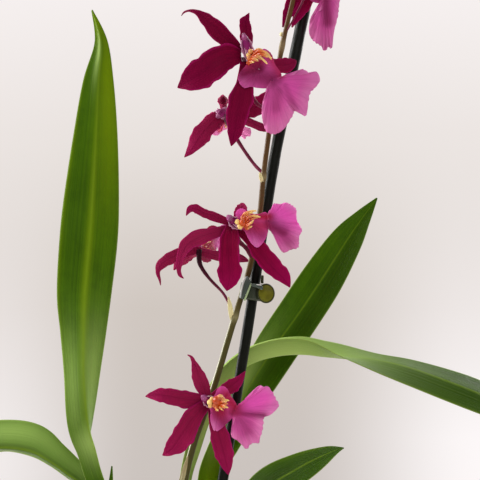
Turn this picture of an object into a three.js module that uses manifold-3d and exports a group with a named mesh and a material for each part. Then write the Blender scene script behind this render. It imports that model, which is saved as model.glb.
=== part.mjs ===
// A cambria orchid in a nursery pot: two leafy pseudobulbs and an old one in bark,
// one spike with its blooms and buds, and a cane that the spike is clipped to.
// Millimetres, +Z up, origin at the middle of the pot's underside, the front of the plant towards -Y.
import * as THREE from "three";
import { mergeVertices } from "three/addons/utils/BufferGeometryUtils.js";
import Module from "manifold-3d";

const wasm = await Module();
wasm.setup();

// Driving dimensions
const clearance = 0.3;
const potHeight = 112;
const potFootRadius = 44;
const potMouthRadius = 58;
const potWall = 1.8;
const rimHeight = 9;
const rimProud = 2.4;
const potSides = 24;
const potChamfer = 1.5;
const drainRadius = 4.5;
const drainRing = 29;
const drainCount = 6;
const drainSides = 8;
const barkLevel = 99;
const barkRoom = 3;
const chipCount = 18;
const chipReach = 53;
const chipLength = [14, 24];
const chipWidth = [9, 14];
const chipHeight = [5, 8];
const chipLift = [0.4, 2.2];
const chipTilt = 0.35;
const goldenAngle = 2.39996;
const leafThickness = 0.95;
const tepalThickness = 0.8;
const lipThickness = 0.8;
const stemFootRadius = 1.9;
const stemTipRadius = 1.0;
const caneFootRadius = 2.45;
const caneTipRadius = 3.1;
const pedicelRadius = 0.95;
const leafColumns = 4;
const leastLeafHalf = 0.4;
const leastTepalHalf = 0.45;
const broadTepal = 4;
const tepalRise = 16;
const hubRadius = 3.3;
const hubDepth = 1.6;
const budStalkRadius = 0.8;

// The front elevation is drawn at true size on the spike's plane, as seen from an eye in front of it.
const eye = new THREE.Vector3(37.5, -750, 335);
const towardsEye = new THREE.Vector3(0, -1, 0);

const degrees = Math.PI / 180;

// A point that shows at x, z on the front elevation and lies at a depth behind the spike's plane.
function seen([x, z, depth]) {
  const scale = (depth - eye.y) / -eye.y;
  return new THREE.Vector3(eye.x + (x - eye.x) * scale, depth, eye.z + (z - eye.z) * scale);
}

// The value at u, from 0 to 1, of a smooth curve through rows of numbers.
function smooth(rows, u) {
  const last = rows.length - 1;
  const at = Math.min(Math.floor(u * last), last - 1);
  const f = u * last - at;
  const row = (i) => rows[Math.min(Math.max(i, 0), last)];
  const [a, b, c, d] = [row(at - 1), row(at), row(at + 1), row(at + 2)];
  return b.map((value, k) => {
    const slope = c[k] - a[k];
    const bend = 2 * a[k] - 5 * value + 4 * c[k] - d[k];
    const twist = 3 * value - a[k] - 3 * c[k] + d[k];
    return 0.5 * (2 * value + slope * f + bend * f * f + twist * f * f * f);
  });
}

// A small generator of repeatable random numbers between 0 and 1.
function seeded(seed) {
  let state = seed;
  return () => {
    state = (state * 1664525 + 1013904223) % 4294967296;
    return state / 4294967296;
  };
}

// Solids and booleans
function solidFrom(positions, triangles) {
  const vertProperties = new Float32Array(positions.flatMap((p) => [p.x, p.y, p.z]));
  const triVerts = new Uint32Array(triangles.flat());
  return new wasm.Manifold(new wasm.Mesh({ numProp: 3, vertProperties, triVerts }));
}

function solid(geometry) {
  const bare = geometry.clone();
  bare.deleteAttribute("normal");
  bare.deleteAttribute("uv");
  const merged = mergeVertices(bare, 1e-3);
  const vertProperties = new Float32Array(merged.attributes.position.array);
  const triVerts = new Uint32Array(merged.index.array);
  return new wasm.Manifold(new wasm.Mesh({ numProp: 3, vertProperties, triVerts }));
}

// A solid of revolution about +Z from an outline of [radius, height] points that starts and ends on the axis.
function turned(outline, sides) {
  const points = outline.map(([r, z]) => new THREE.Vector2(r, z));
  return solid(new THREE.LatheGeometry(points, sides).rotateX(Math.PI / 2));
}

const joined = (solids) => solids.reduce((sum, next) => sum.add(next));
const cutBy = (body, cutters) => cutters.reduce((left, cutter) => left.subtract(cutter), body);

// The largest body of a cut solid, without the scraps that a cut leaves.
function mainBody(body) {
  return body.decompose().sort((a, b) => b.volume() - a.volume())[0];
}

function geometryOf(body) {
  const mesh = body.getMesh();
  const geometry = new THREE.BufferGeometry();
  geometry.setAttribute("position", new THREE.BufferAttribute(mesh.vertProperties, 3));
  geometry.setIndex(new THREE.BufferAttribute(mesh.triVerts, 1));
  geometry.computeVertexNormals();
  return geometry;
}

// A thin closed sheet whose middle surface is point(u, s), u along it and s across it from -1 to 1.
// A grown sheet is thicker and runs on past both ends, to cut room for a real one.
function sheet(point, rows, columns, sheetThickness, grow) {
  const leastMitre = 0.45;
  const thickness = sheetThickness + 2 * grow;
  const grid = [];
  for (let i = 0; i <= rows; i++) {
    grid.push([]);
    for (let j = 0; j <= columns; j++) grid[i].push(point(i / rows, (2 * j) / columns - 1));
  }
  for (let j = 0; j <= columns; j++) {
    const start = grid[0][j].clone().sub(grid[1][j]).setLength(grow);
    const end = grid[rows][j].clone().sub(grid[rows - 1][j]).setLength(grow);
    grid[0][j].add(start);
    grid[rows][j].add(end);
  }
  const positions = [[], []];
  for (let i = 0; i <= rows; i++) {
    const before = grid[Math.max(i - 1, 0)];
    const after = grid[Math.min(i + 1, rows)];
    for (let j = 0; j <= columns; j++) {
      const along = after[j].clone().sub(before[j]);
      const sides = [j - 1, j].filter((k) => k >= 0 && k < columns);
      const normals = sides.map((k) => {
        const across = grid[i][k + 1].clone().sub(grid[i][k]);
        return along.clone().cross(across).normalize();
      });
      const normal = normals.reduce((sum, n) => sum.clone().add(n)).normalize();
      const mitre = 1 / Math.max(normal.dot(normals[0]), leastMitre);
      [1, -1].forEach((side, face) => {
        const offset = (side * mitre * thickness) / 2;
        positions[face].push(grid[i][j].clone().addScaledVector(normal, offset));
      });
    }
  }
  const width = columns + 1;
  const count = (rows + 1) * width;
  const top = (i, j) => i * width + j;
  const under = (i, j) => count + i * width + j;
  const triangles = [];
  const quad = (a, b, c, d) => triangles.push([a, b, c], [a, c, d]);
  for (let i = 0; i < rows; i++) {
    for (let j = 0; j < columns; j++) {
      quad(top(i, j), top(i + 1, j), top(i + 1, j + 1), top(i, j + 1));
      triangles.push([under(i, j), under(i + 1, j + 1), under(i + 1, j)]);
      triangles.push([under(i, j), under(i, j + 1), under(i + 1, j + 1)]);
    }
    quad(top(i, 0), under(i, 0), under(i + 1, 0), top(i + 1, 0));
    quad(top(i, columns), top(i + 1, columns), under(i + 1, columns), under(i, columns));
  }
  for (let j = 0; j < columns; j++) {
    quad(top(0, j), top(0, j + 1), under(0, j + 1), under(0, j));
    quad(top(rows, j), under(rows, j), under(rows, j + 1), top(rows, j + 1));
  }
  return solidFrom([...positions[0], ...positions[1]], triangles);
}

// The axes of a strip that runs along path: t along it, face the way its upper side looks, side across it.
function axesAt(path, u, towards, turn) {
  const step = 0.01;
  const t = path(Math.min(u + step, 1)).sub(path(Math.max(u - step, 0))).normalize();
  const face = towards.clone().addScaledVector(t, -towards.dot(t)).normalize();
  face.applyAxisAngle(t, turn * degrees);
  return { t, face, side: t.clone().cross(face) };
}

// A leaf: each station is x, z and depth of its keel, its half width,
// the rise of its halves and its turn in degrees.
function leaf(stations, { rows = 16, grow = 0 } = {}) {
  const path = (u) => seen(smooth(stations, u));
  const point = (u, s) => {
    const [, , , half, fold, turn] = smooth(stations, u);
    const { face, side } = axesAt(path, u, towardsEye, turn);
    const reach = s * (Math.max(half, leastLeafHalf) + grow);
    return path(u)
      .addScaledVector(side, reach * Math.cos(fold * degrees))
      .addScaledVector(face, Math.abs(reach) * Math.sin(fold * degrees));
  };
  return sheet(point, rows, leafColumns, leafThickness, grow);
}

// A round stem through path, with a radius for each u and flat ends. A grown one is thicker and longer.
function stem(path, radius, sides, rings, grow = 0) {
  const positions = [];
  const triangles = [];
  const nearlyParallel = 0.95;
  let normal = new THREE.Vector3(0, 1, 0);
  for (let i = 0; i <= rings; i++) {
    const u = i / rings;
    const step = 0.5 / rings;
    const t = path(Math.min(u + step, 1)).sub(path(Math.max(u - step, 0))).normalize();
    if (Math.abs(normal.dot(t)) > nearlyParallel) normal = new THREE.Vector3(1, 0, 0);
    normal = normal.clone().addScaledVector(t, -normal.dot(t)).normalize();
    const centre = path(u).addScaledVector(t, i === 0 ? -grow : i === rings ? grow : 0);
    for (let k = 0; k < sides; k++) {
      const arm = normal.clone().applyAxisAngle(t, (2 * Math.PI * k) / sides);
      positions.push(centre.clone().addScaledVector(arm, radius(u) + grow));
    }
  }
  const at = (i, k) => i * sides + (k % sides);
  for (let i = 0; i < rings; i++) {
    for (let k = 0; k < sides; k++) {
      triangles.push([at(i, k), at(i, k + 1), at(i + 1, k + 1)]);
      triangles.push([at(i, k), at(i + 1, k + 1), at(i + 1, k)]);
    }
  }
  for (let k = 1; k < sides - 1; k++) {
    triangles.push([at(0, 0), at(0, k + 1), at(0, k)], [at(rings, 0), at(rings, k), at(rings, k + 1)]);
  }
  return solidFrom(positions, triangles);
}

const lerp = THREE.MathUtils.lerp;

// Materials
const finish = (color, roughness, metalness = 0) =>
  new THREE.MeshStandardMaterial({ color, roughness, metalness });
const materials = {
  pot: finish(0x3a3f3d, 0.55),
  bark: finish(0x5a3d28, 0.95),
  bulb: finish(0x7f9a3c, 0.5),
  leaf: finish(0x5f8a1e, 0.45),
  stem: finish(0x55501f, 0.5),
  cane: finish(0x14170f, 0.45),
  clip: finish(0xb8c8b0, 0.15),
  button: finish(0x6b6b18, 0.35),
  tepal: finish(0x930040, 0.55),
  lip: finish(0xd050a0, 0.55),
  callus: finish(0xe08a2a, 0.45),
  column: finish(0xd9a9cf, 0.4),
  bud: finish(0x8a1c48, 0.5),
};

// Pot and bark
function wallRadius(z) {
  return lerp(potFootRadius, potMouthRadius, z / potHeight);
}

function potSolid() {
  const shoulder = potHeight - rimHeight;
  const rimRadius = potMouthRadius + rimProud;
  const profile = [
    [0, 0],
    [potFootRadius - potChamfer, 0],
    [wallRadius(potChamfer), potChamfer],
    [wallRadius(shoulder - potChamfer), shoulder - potChamfer],
    [rimRadius - 0.8, shoulder],
    [rimRadius, shoulder + 1],
    [rimRadius, potHeight - 1],
    [rimRadius - 1, potHeight],
    [potMouthRadius - potWall + 0.6, potHeight],
    [potMouthRadius - potWall, potHeight - 0.8],
    [wallRadius(potWall) - potWall, potWall],
    [0, potWall],
  ];
  const shell = turned(profile, potSides);
  const drains = [];
  for (let k = 0; k < drainCount; k++) {
    const angle = (2 * Math.PI * (k + 0.5)) / drainCount;
    const drill = new THREE.CylinderGeometry(drainRadius, drainRadius, 6 * potWall, drainSides);
    drill.rotateX(Math.PI / 2);
    drains.push(solid(drill.translate(drainRing * Math.cos(angle), drainRing * Math.sin(angle), 0)));
  }
  return cutBy(shell, drains);
}

// Chips of bark lie on a level bed that fills the pot, and everything that stands in it has a plain hole.
function barkSolid(standing) {
  const top = potHeight - barkRoom;
  const bottom = potWall + clearance;
  const side = (z) => wallRadius(z) - potWall - clearance;
  const filled = (z) => turned([[0, bottom], [side(bottom), bottom], [side(z), z], [0, z]], potSides);
  const bed = filled(barkLevel);
  const room = filled(top);
  const random = seeded(11);
  const chips = [];
  for (let k = 0; k < chipCount; k++) {
    const reach = chipReach * Math.sqrt((k + 0.5) / chipCount);
    const angle = k * goldenAngle + 0.3 * random();
    const ranges = [chipLength, chipWidth, chipHeight];
    const size = ranges.map(([least, most]) => lerp(least, most, random()));
    const chip = new THREE.BoxGeometry(...size);
    const corners = chip.attributes.position;
    for (let i = 0; i < corners.count; i++) {
      const corner = 2.3 * Math.sign(corners.getX(i)) + Math.sign(corners.getZ(i));
      corners.setY(i, corners.getY(i) * (0.72 + 0.22 * Math.sin(3.1 * k + corner)));
    }
    chip.rotateX(lerp(-chipTilt, chipTilt, random())).rotateY(lerp(-chipTilt, chipTilt, random()));
    chip.rotateZ(2 * Math.PI * random());
    const height = barkLevel + lerp(...chipLift, random());
    chip.translate(reach * Math.cos(angle), reach * Math.sin(angle), height);
    chips.push(solid(chip));
  }
  return mainBody(cutBy(joined([bed, ...chips]).intersect(room), standing));
}

// Pseudobulbs: flattened, with a blunt top that carries the leaves.
// The outline is in shares of the radius and the height.
const bulbShape = [
  [0, 0],
  [0.55, 0],
  [0.86, 0.1],
  [1, 0.27],
  [0.99, 0.45],
  [0.8, 0.68],
  [0.56, 0.87],
  [0.4, 0.97],
  [0.3, 1],
  [0, 1],
];

function bulb({ x, y, foot, height, radius, flat, lean = 0 }, grow = 0) {
  const ends = (z) => (z === 0 ? -grow : z === 1 ? grow : 0);
  const outward = (r) => (r === 0 ? 0 : r * radius + grow);
  const points = bulbShape.map(([r, z]) => new THREE.Vector2(outward(r), z * height + ends(z)));
  const body = new THREE.LatheGeometry(points, 12).rotateX(Math.PI / 2);
  body.scale(1, (flat * radius + grow) / (radius + grow), 1).rotateY(lean);
  return solid(body.translate(x, y, foot));
}

const bulbs = {
  pseudobulb_left: { x: -16, y: 0.5, foot: 92, height: 87, radius: 17, flat: 0.55, lean: -0.02 },
  pseudobulb_right: { x: 12.5, y: 12, foot: 92, height: 85, radius: 16, flat: 0.55, lean: 0.02 },
  pseudobulb_back: { x: -7, y: 30, foot: 92, height: 58, radius: 14, flat: 0.6, lean: -0.12 },
};

// Leaves: x, z and depth of the keel, half width, rise of the halves and turn from facing the eye, in degrees
const leaves = {
  leaf_left_tall: [
    [-14, 177, -3, 3.6, 72, -100],
    [-23, 197, -3, 6, 70, -100],
    [-31, 215, -3, 9.6, 66, -108],
    [-35.5, 230.5, -3, 10, 58, -118],
    [-39, 243, -3, 10.4, 44, -138],
    [-40.8, 266, -2, 11, 36, -166],
    [-40.7, 289, 0, 12.8, 26, -172],
    [-40.2, 308, 2, 14.4, 18, -170],
    [-37.9, 335, 4, 15, 12, -167],
    [-36.4, 355.5, 6, 14.3, 12, -167],
    [-34.6, 386, 8, 11.6, 12, -170],
    [-33.3, 413.5, 10, 8.2, 15, -174],
    [-32, 434, 10, 3.6, 20, -180],
    [-36.5, 450, 10, 0.4, 15, -180],
  ],
  leaf_left_arching: [
    [-17, 177, 5, 3.6, 66, 185],
    [-23.5, 195, 7, 6, 60, 176],
    [-32.5, 207, 10, 8.5, 58, 168],
    [-41, 213, 12, 9.5, 56, 164],
    [-48, 217.8, 13, 11, 56, 162],
    [-57, 224.2, 14, 13, 54, 160],
    [-67.5, 229.8, 15, 16, 52, 158],
    [-82.5, 231.5, 15, 17, 58, 158.5],
    [-96.5, 228.8, 14, 16.8, 54, 160],
    [-111.5, 220.5, 12, 14.5, 48, 164],
    [-124.5, 205.5, 10, 9.5, 36, 172],
    [-132.5, 188, 8, 0.4, 20, 180],
  ],
  leaf_left_shoot: [
    [-20.5, 92, -15, 4, 55, -60],
    [-24, 145, -19, 5.5, 50, -40],
    [-26, 175, -21, 5, 45, -30],
    [-27, 200, -21, 3.2, 40, -25],
    [-26.5, 222, -21, 0.4, 30, -20],
  ],
  leaf_right_upright: [
    [16, 177, 13, 3.6, 66, -38],
    [21, 195, 16, 8, 64, -38],
    [26, 215, 20, 12.4, 60, -30],
    [29.5, 231, 23, 13, 56, -5],
    [38, 254.5, 27, 13, 46, 22],
    [52, 277.5, 31, 13, 38, 20],
    [68, 300, 34, 12.6, 34, 10],
    [79, 316.5, 36, 11.8, 30, 6],
    [91, 335, 38, 8.6, 26, 0],
    [99, 346.5, 39, 4.4, 22, 0],
    [106, 356, 40, 0.4, 15, 0],
  ],
  leaf_right_arching: [
    [10.8, 169, 10.5, 3.6, 70, -92],
    [11, 197, 7, 5, 68, -92],
    [12.5, 215, 6, 6.5, 66, -92],
    [17, 230, 6, 9, 62, -92],
    [23.5, 249, 6, 10, 58, -92],
    [32, 265, 6, 10.5, 54, -92],
    [42.5, 275.5, 6, 11.5, 52, -90],
    [55, 278.5, 6, 12.5, 51, -90],
    [68, 278, 5, 13, 46, -88],
    [80.5, 277, 5, 13, 30, -84],
    [92.5, 276, 4, 13.2, 12, -80],
    [105.5, 274.5, 3, 13.3, -3, -75],
    [122.5, 270.5, 1, 13.4, -8, -64],
    [141, 264, -2, 13, -8, -55],
    [157.5, 257.5, -5, 12.6, -8, -52],
    [178.5, 247.5, -9, 11, -6, -56],
    [198.5, 235, -13, 7, 0, -60],
    [215.5, 221, -16, 0.4, 5, -64],
  ],
  leaf_right_lower: [
    [24, 92, 0, 4, 60, -60],
    [26.5, 135, -2, 7, 55, -60],
    [31, 165, -4, 9, 42, -58],
    [38, 189, -6, 11.5, 25, -54],
    [50, 209, -8, 12.5, 10, -52],
    [67, 220.5, -10, 11.5, 2, -60],
    [80.5, 227.3, -11, 7, 5, -62],
    [89.5, 231, -12, 0.4, 15, -66],
  ],
};
const leafRows = { leaf_left_shoot: 8, leaf_right_lower: 12, leaf_right_arching: 20, leaf_left_tall: 19 };

// Cane and spike
const caneLine = [
  [9.5, 92, -8],
  [29, 215, -8],
  [42, 295, -8],
  [47.3, 330, -8],
  [53, 365, -8],
  [56.5, 385, -8],
  [64.5, 424.5, -8],
  [70, 452, -8],
  [76, 483, -8],
];
const spikeLine = [
  [3, 92, -4],
  [5.5, 155, -7],
  [7.5, 195, -9],
  [10, 215, -10],
  [15, 235, -10.5],
  [24, 260, -10.5],
  [33, 290, -11],
  [39, 310, -11],
  [43.5, 326, -12],
  [47.5, 349, -12.5],
  [49, 365, -12.5],
  [51.5, 385, -13],
  [57.5, 426.5, -15.5],
  [64, 455, -17],
  [69.5, 480, -16],
  [73, 505, -13],
  [74, 530, -11],
];

const spikeLength = 520;

const along = (line) => (u) => seen(smooth(line, u));
const spikeRadius = (u) => lerp(stemFootRadius, stemTipRadius, u);

function cane(grow = 0) {
  return stem(along(caneLine), (u) => lerp(caneFootRadius, caneTipRadius, u), 8, 8, grow);
}

const bractShape = [[0.7], [1], [0.95], [0.6], [0.12]];
const bractLean = 1.2;

// A bract clasps the spike at a node: it swells round the stem and ends in a point on one side.
function bract({ at, length, swell, side }, grow) {
  const path = along(spikeLine);
  const step = length / spikeLength;
  const lean = (u) => bractLean * side * u * u;
  const line = (u) => path(Math.min(at + step * u, 1)).add(new THREE.Vector3(lean(u), 0, 0));
  return stem(line, (u) => (spikeRadius(at) + swell) * smooth(bractShape, u)[0], 5, 3, grow);
}

const bracts = [
  { at: 0.168, length: 24, swell: 1.1, side: -1 },
  { at: 0.393, length: 13, swell: 1.0, side: -1 },
  { at: 0.522, length: 9, swell: 0.7, side: -1 },
  { at: 0.63, length: 9, swell: 0.7, side: -1 },
  { at: 0.76, length: 9, swell: 0.7, side: -1 },
  { at: 0.885, length: 8, swell: 0.6, side: -1 },
];

function spike(grow = 0) {
  const rod = stem(along(spikeLine), spikeRadius, 6, 22, grow);
  return joined([rod, ...bracts.map((one) => bract(one, grow))]);
}

// Clip: a sprung collar round the spike and the cane, a finger plate in front and a round button at the side
const clipPlace = { x: 42.4, y: -9.6, z: 309.5, lean: 0.13 };

const collar = { outer: [7, 6], inner: [6.2, 5.2], height: 8, opening: 0.35 };
const fingerPlate = { size: [2.2, 5.4, 13], at: [-3.4, -7.6, 0.6], lean: 0.14 };
const frontBar = { size: [9, 1.4, 2.4], at: [0.8, -9.4, 2.6] };
const buttonArm = { size: [3, 6, 3], at: [8, -3.15, 0.2] };
const buttonAt = [7.7, -6.2, 0.5];
const buttonRadius = 4.4;

function clipBody() {
  const from = Math.PI / 2 + collar.opening;
  const to = 2.5 * Math.PI - collar.opening;
  const arc = (radii) => new THREE.EllipseCurve(0, 0, ...radii, from, to, false).getPoints(12);
  const ring = new THREE.Shape([...arc(collar.outer), ...arc(collar.inner).reverse()]);
  const band = new THREE.ExtrudeGeometry(ring, { depth: collar.height, bevelEnabled: false });
  const block = ({ size, at, lean = 0 }) => new THREE.BoxGeometry(...size).rotateY(lean).translate(...at);
  const parts = [band.translate(0, 0, -collar.height / 2), ...[fingerPlate, frontBar, buttonArm].map(block)];
  return joined(parts.map((part) => solid(part)));
}

function clipButton() {
  const outline = [[0, 0], [0.88, 0], [1, 0.5], [1, 1.5], [0.86, 2.1], [0.34, 2.4], [0, 2.4]];
  const points = outline.map(([r, z]) => new THREE.Vector2(r * buttonRadius, z));
  return solid(new THREE.LatheGeometry(points, 12).rotateX(Math.PI).translate(...buttonAt));
}

// Blooms: every place is x, z and depth on the front elevation
const frontFace = [0, -1, 0];
const blooms = {
  bloom_bottom: {
    hub: [22, 255, -22],
    face: frontFace,
    pedicel: [[18.5, 243, -10.5], [17, 249, -14], [19.5, 253, -18], [22, 255, -22]],
    tepals: [
      {
        line: [[22, 255, -22], [6.5, 255.5, -25], [-2.5, 257.5, -25], [-9.5, 256.5, -22]],
        half: 4.3,
        turn: 8,
      },
      { line: [[22, 255, -22], [18.5, 266, -23], [16, 272, -26], [12, 277.5, -29]], half: 3.7, turn: 10 },
      { line: [[22, 255, -22], [14, 244.5, -27], [6.5, 234.5, -27], [-0.5, 227.5, -23]], half: 5.7, turn: 0 },
      { line: [[22, 255, -22], [31.5, 261, -18], [36, 265, -16], [40, 269, -15]], half: 4.2, turn: 0 },
      { line: [[22, 255, -22], [26, 240, -26], [29.5, 229, -27], [31.5, 218, -24]], half: 4.8, turn: 0 },
    ],
    lip: {
      line: [[23.5, 254, -26], [30, 253.5, -31], [36, 249, -32], [49.5, 245, -27]],
      side: 11,
      lobe: 21,
    },
  },
  bloom_middle: {
    hub: [34.5, 341, -22],
    face: frontFace,
    pedicel: [[43.5, 326, -12], [40.5, 331, -15], [36.5, 335, -19], [34.5, 341, -22]],
    tepals: [
      {
        line: [[34.5, 341, -22], [23, 338, -27], [14, 334.5, -29], [9.5, 327, -28], [8, 316.5, -26]],
        half: 4.4,
      },
      {
        line: [[34.5, 341, -22], [22.5, 347.5, -22], [15, 351.5, -22], [10.5, 348, -25]],
        half: 3.4,
        turn: 30,
      },
      { line: [[34.5, 341, -22], [32.5, 332, -29], [32.5, 321, -30], [31, 310, -27]], half: 5.2 },
      { line: [[34.5, 341, -22], [37.5, 348, -18], [39, 354, -15]], half: 3 },
      { line: [[34.5, 341, -22], [46, 331, -28], [54.5, 322, -28], [62.5, 312, -24]], half: 5 },
    ],
    lip: {
      line: [[37, 343.5, -26], [44, 345, -31], [51.5, 344, -32], [65.5, 341, -28]],
      side: 10.5,
      lobe: 20,
    },
  },
  bloom_middle_back: {
    hub: [17, 330, -3],
    face: [-0.2, 1, 0],
    pedicel: [
      [35, 296, -11],
      [32.5, 302, -10],
      [29, 308.5, -8.5],
      [22, 316, -6.5],
      [17.5, 323, -5],
      [17, 330, -3],
    ],
    tepals: [
      { line: [[17, 330, -3], [7.5, 329, -6], [-2.5, 323, -8], [-3, 312.5, -8]], half: 4.2 },
      { line: [[17, 330, -3], [11.5, 327, 4], [5.5, 321, 10], [2.5, 314, 14]], half: 3.8 },
      { line: [[17, 330, -3], [17.5, 337, 7], [16.5, 343, 17]], half: 3.8 },
      { line: [[17, 330, -3], [25.5, 327, 0], [32.5, 326, 2], [42.5, 324, 4]], half: 3.2 },
      { line: [[17, 330, -3], [20.5, 323, 7], [25.5, 317, 17]], half: 3.8 },
    ],
    lip: {
      line: [[18.5, 331, 2], [23, 334, 9], [25.5, 334, 15], [29, 332, 28]],
      side: 8,
      lobe: 16,
    },
  },
  bloom_upper: {
    hub: [40, 426.5, -22],
    face: frontFace,
    pedicel: [[55, 403, -13.5], [49.5, 401, -14], [44, 406, -18], [41, 415.5, -21], [40, 426.5, -22]],
    tepals: [
      {
        line: [[40, 426.5, -22], [29, 438.5, -24], [19.5, 446.5, -25], [12.5, 449.5, -23], [8.5, 447, -21]],
        half: 5,
      },
      { line: [[40, 426.5, -22], [40.5, 437.5, -19], [42, 448.5, -18]], half: 3.8 },
      { line: [[40, 426.5, -22], [28.5, 424, -27], [17.5, 418, -28], [7, 412, -24]], half: 9.2 },
      { line: [[40, 426.5, -22], [53.5, 421.5, -19.5], [65.5, 424.5, -18]], half: 4.4 },
      { line: [[40, 426.5, -22], [40.5, 410, -28], [36.5, 396.5, -28], [33.5, 382.5, -24]], half: 6.4 },
    ],
    lip: {
      line: [[43, 426, -27], [48.5, 426, -33], [53.5, 419.5, -35], [66, 403, -29]],
      side: 11.5,
      lobe: 27,
    },
  },
  bloom_upper_back: {
    hub: [29.5, 398, -1],
    face: [-0.1, 1, 0],
    pedicel: [[49.5, 368, -12.5], [44.5, 373, -9], [37.5, 383, -5], [33, 391, -3], [29.5, 398, -1]],
    tepals: [
      { line: [[29.5, 398, -1], [29, 404, 4], [29, 407, 12]], half: 2.8 },
      { line: [[29.5, 398, -1], [20.5, 390.5, -3], [15.5, 382, -4], [10, 376.5, -4]], half: 5.6 },
      { line: [[29.5, 398, -1], [40, 399.5, 1], [48, 403, 3], [55, 411, 5]], half: 4.4 },
      { line: [[29.5, 398, -1], [41, 394.4, 1], [52, 389.6, 3]], half: 2.4 },
      { line: [[29.5, 398, -1], [25, 396.8, 6], [20.5, 396, 14]], half: 2.8 },
    ],
    lip: {
      line: [[30.5, 396, 4], [31.5, 393.5, 10], [31, 392, 16], [30, 388, 27]],
      side: 8,
      lobe: 16.5,
    },
  },
  bloom_top: {
    hub: [71.5, 464, -16],
    face: frontFace,
    pedicel: [[60, 438, -15.5], [64.5, 446, -21], [69, 455, -21.5], [71.5, 464, -16]],
    tepals: [
      { line: [[71.5, 464, -16], [66, 474, -13], [60, 481, -9], [55, 487, -6]], half: 3.6 },
      { line: [[71.5, 464, -16], [72.5, 477.5, -16], [77, 492.5, -14]], half: 4.4 },
      { line: [[71.5, 464, -16], [68, 455.5, -13.4], [64.5, 449, -13.1], [59.5, 441, -12.9]], half: 3.8 },
      { line: [[71.5, 464, -16], [80, 470, -14], [93.5, 476, -12]], half: 4.2 },
      { line: [[71.5, 464, -16], [70, 454, -13.4], [67, 447, -13.1], [63.5, 441, -12.9]], half: 3.4 },
    ],
    lip: {
      line: [[73, 462, -20], [77, 460.5, -25], [79, 455, -26], [79.5, 432, -22]],
      side: 7,
      lobe: 24,
      spread: 26,
    },
  },
  bloom_crown: {
    hub: [65.5, 505, -22],
    face: frontFace,
    pedicel: [[72.5, 495, -14], [71, 499, -18], [67.5, 503, -22], [65.5, 505, -22]],
    tepals: [
      { line: [[65.5, 505, -22], [76, 512, -25], [84, 518, -24], [90, 520, -21]], half: 4.4 },
      { line: [[65.5, 505, -22], [62, 516, -22], [59, 525, -22], [57, 531, -20]], half: 4 },
      { line: [[65.5, 505, -22], [76, 498, -26], [84, 490, -26], [91, 484, -22]], half: 5.6 },
      { line: [[65.5, 505, -22], [56, 511, -19], [48, 516, -16]], half: 4.2 },
      { line: [[65.5, 505, -22], [62, 495, -27], [58, 486, -28], [54, 478, -26]], half: 4.8 },
    ],
    lip: {
      line: [[63, 505, -27], [56, 504, -31], [51, 500, -31], [38, 492, -27]],
      side: 10.5,
      lobe: 19,
    },
  },
};

const tepalShape = [[0.45], [0.7], [1], [0.98], [0.72], [0.06]];
const pedicelShape = [[0.9], [0.85], [0.95], [1.35], [1.9]];

function tepal({ line, half, turn = 0 }, face, grow) {
  const path = along(line);
  const towards = new THREE.Vector3(...face);
  const point = (u, s) => {
    const axes = axesAt(path, u, towards, turn);
    const reach = s * (Math.max(half * smooth(tepalShape, u)[0], leastTepalHalf) + grow);
    return path(u)
      .addScaledVector(axes.side, reach * Math.cos(tepalRise * degrees))
      .addScaledVector(axes.face, Math.abs(s * reach) * Math.sin(tepalRise * degrees));
  };
  return sheet(point, 5, half > broadTepal ? 4 : 2, tepalThickness, grow);
}

// The tepals meet in a small hub at the pedicel's end, behind the column.
function tepals(bloom, grow = 0) {
  const stalk = stem(along(bloom.pedicel), (u) => pedicelRadius * smooth(pedicelShape, u)[0], 5, 5, grow);
  const face = new THREE.Vector3(...bloom.face).normalize();
  const through = (u) => seen(bloom.hub).addScaledVector(face, hubDepth * (u - 0.6));
  const hub = stem(through, () => hubRadius, 6, 1, grow);
  return joined([stalk, hub, ...bloom.tepals.map((one) => tepal(one, bloom.face, grow))]);
}

// The lip: a claw, two side lobes, a waist and a broad fan whose edge is notched in the middle and waved.
const waistAt = 0.4;
const waistU = 2 / 3;
const waistShare = 0.26;
const clawShape = [[0.24], [0.62], [1], [0.82], [waistShare]];
const clawDroop = 20;
const notchDepth = 0.28;
const notchWidth = 0.24;
const shoulderLoss = 0.3;
const ruffle = { height: 1.3, waves: 9, phase: 2.2, droop: 0.3 };

function lip({ lip: { line, side, lobe, spread = 80 }, face }, grow = 0) {
  const path = along(line);
  const towards = new THREE.Vector3(...face);
  const span = path(1).distanceTo(path(waistU));
  const point = (u, s) => {
    if (u <= waistAt) {
      const q = (u / waistAt) * waistU;
      const axes = axesAt(path, q, towards, 0);
      const reach = s * (side * smooth(clawShape, u / waistAt)[0] + grow);
      return path(q)
        .addScaledVector(axes.side, reach * Math.cos(clawDroop * degrees))
        .addScaledVector(axes.face, -Math.abs(s * reach) * Math.sin(clawDroop * degrees));
    }
    const v = (u - waistAt) / (1 - waistAt);
    const notch = 1 - notchDepth * Math.exp(-((s / notchWidth) ** 2));
    const reach = (lobe * notch * (1 - shoulderLoss * s ** 4) + grow) * v;
    const angle = s * spread * degrees;
    const ahead = reach * Math.cos(angle);
    const across = reach * Math.sin(angle) + s * (waistShare * side + grow) * (1 - v);
    const q = waistU + (1 - waistU) * Math.min(ahead / span, 1);
    const axes = axesAt(path, q, towards, 0);
    const frill = ruffle.height * v * v * Math.sin(ruffle.waves * s + ruffle.phase);
    const wave = frill - ruffle.droop * Math.abs(across);
    return path(q)
      .addScaledVector(axes.t, ahead - Math.min(ahead, span))
      .addScaledVector(axes.side, across)
      .addScaledVector(axes.face, wave);
  };
  return sheet(point, 9, 8, lipThickness, grow);
}

// The column stands on the hub and leans away from the lip.
const columnLength = 8;
const columnStart = 1.2;
const columnLean = 2.4;
const columnShape = [[1.9], [2.3], [2.9], [3.1], [1.5]];

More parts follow.
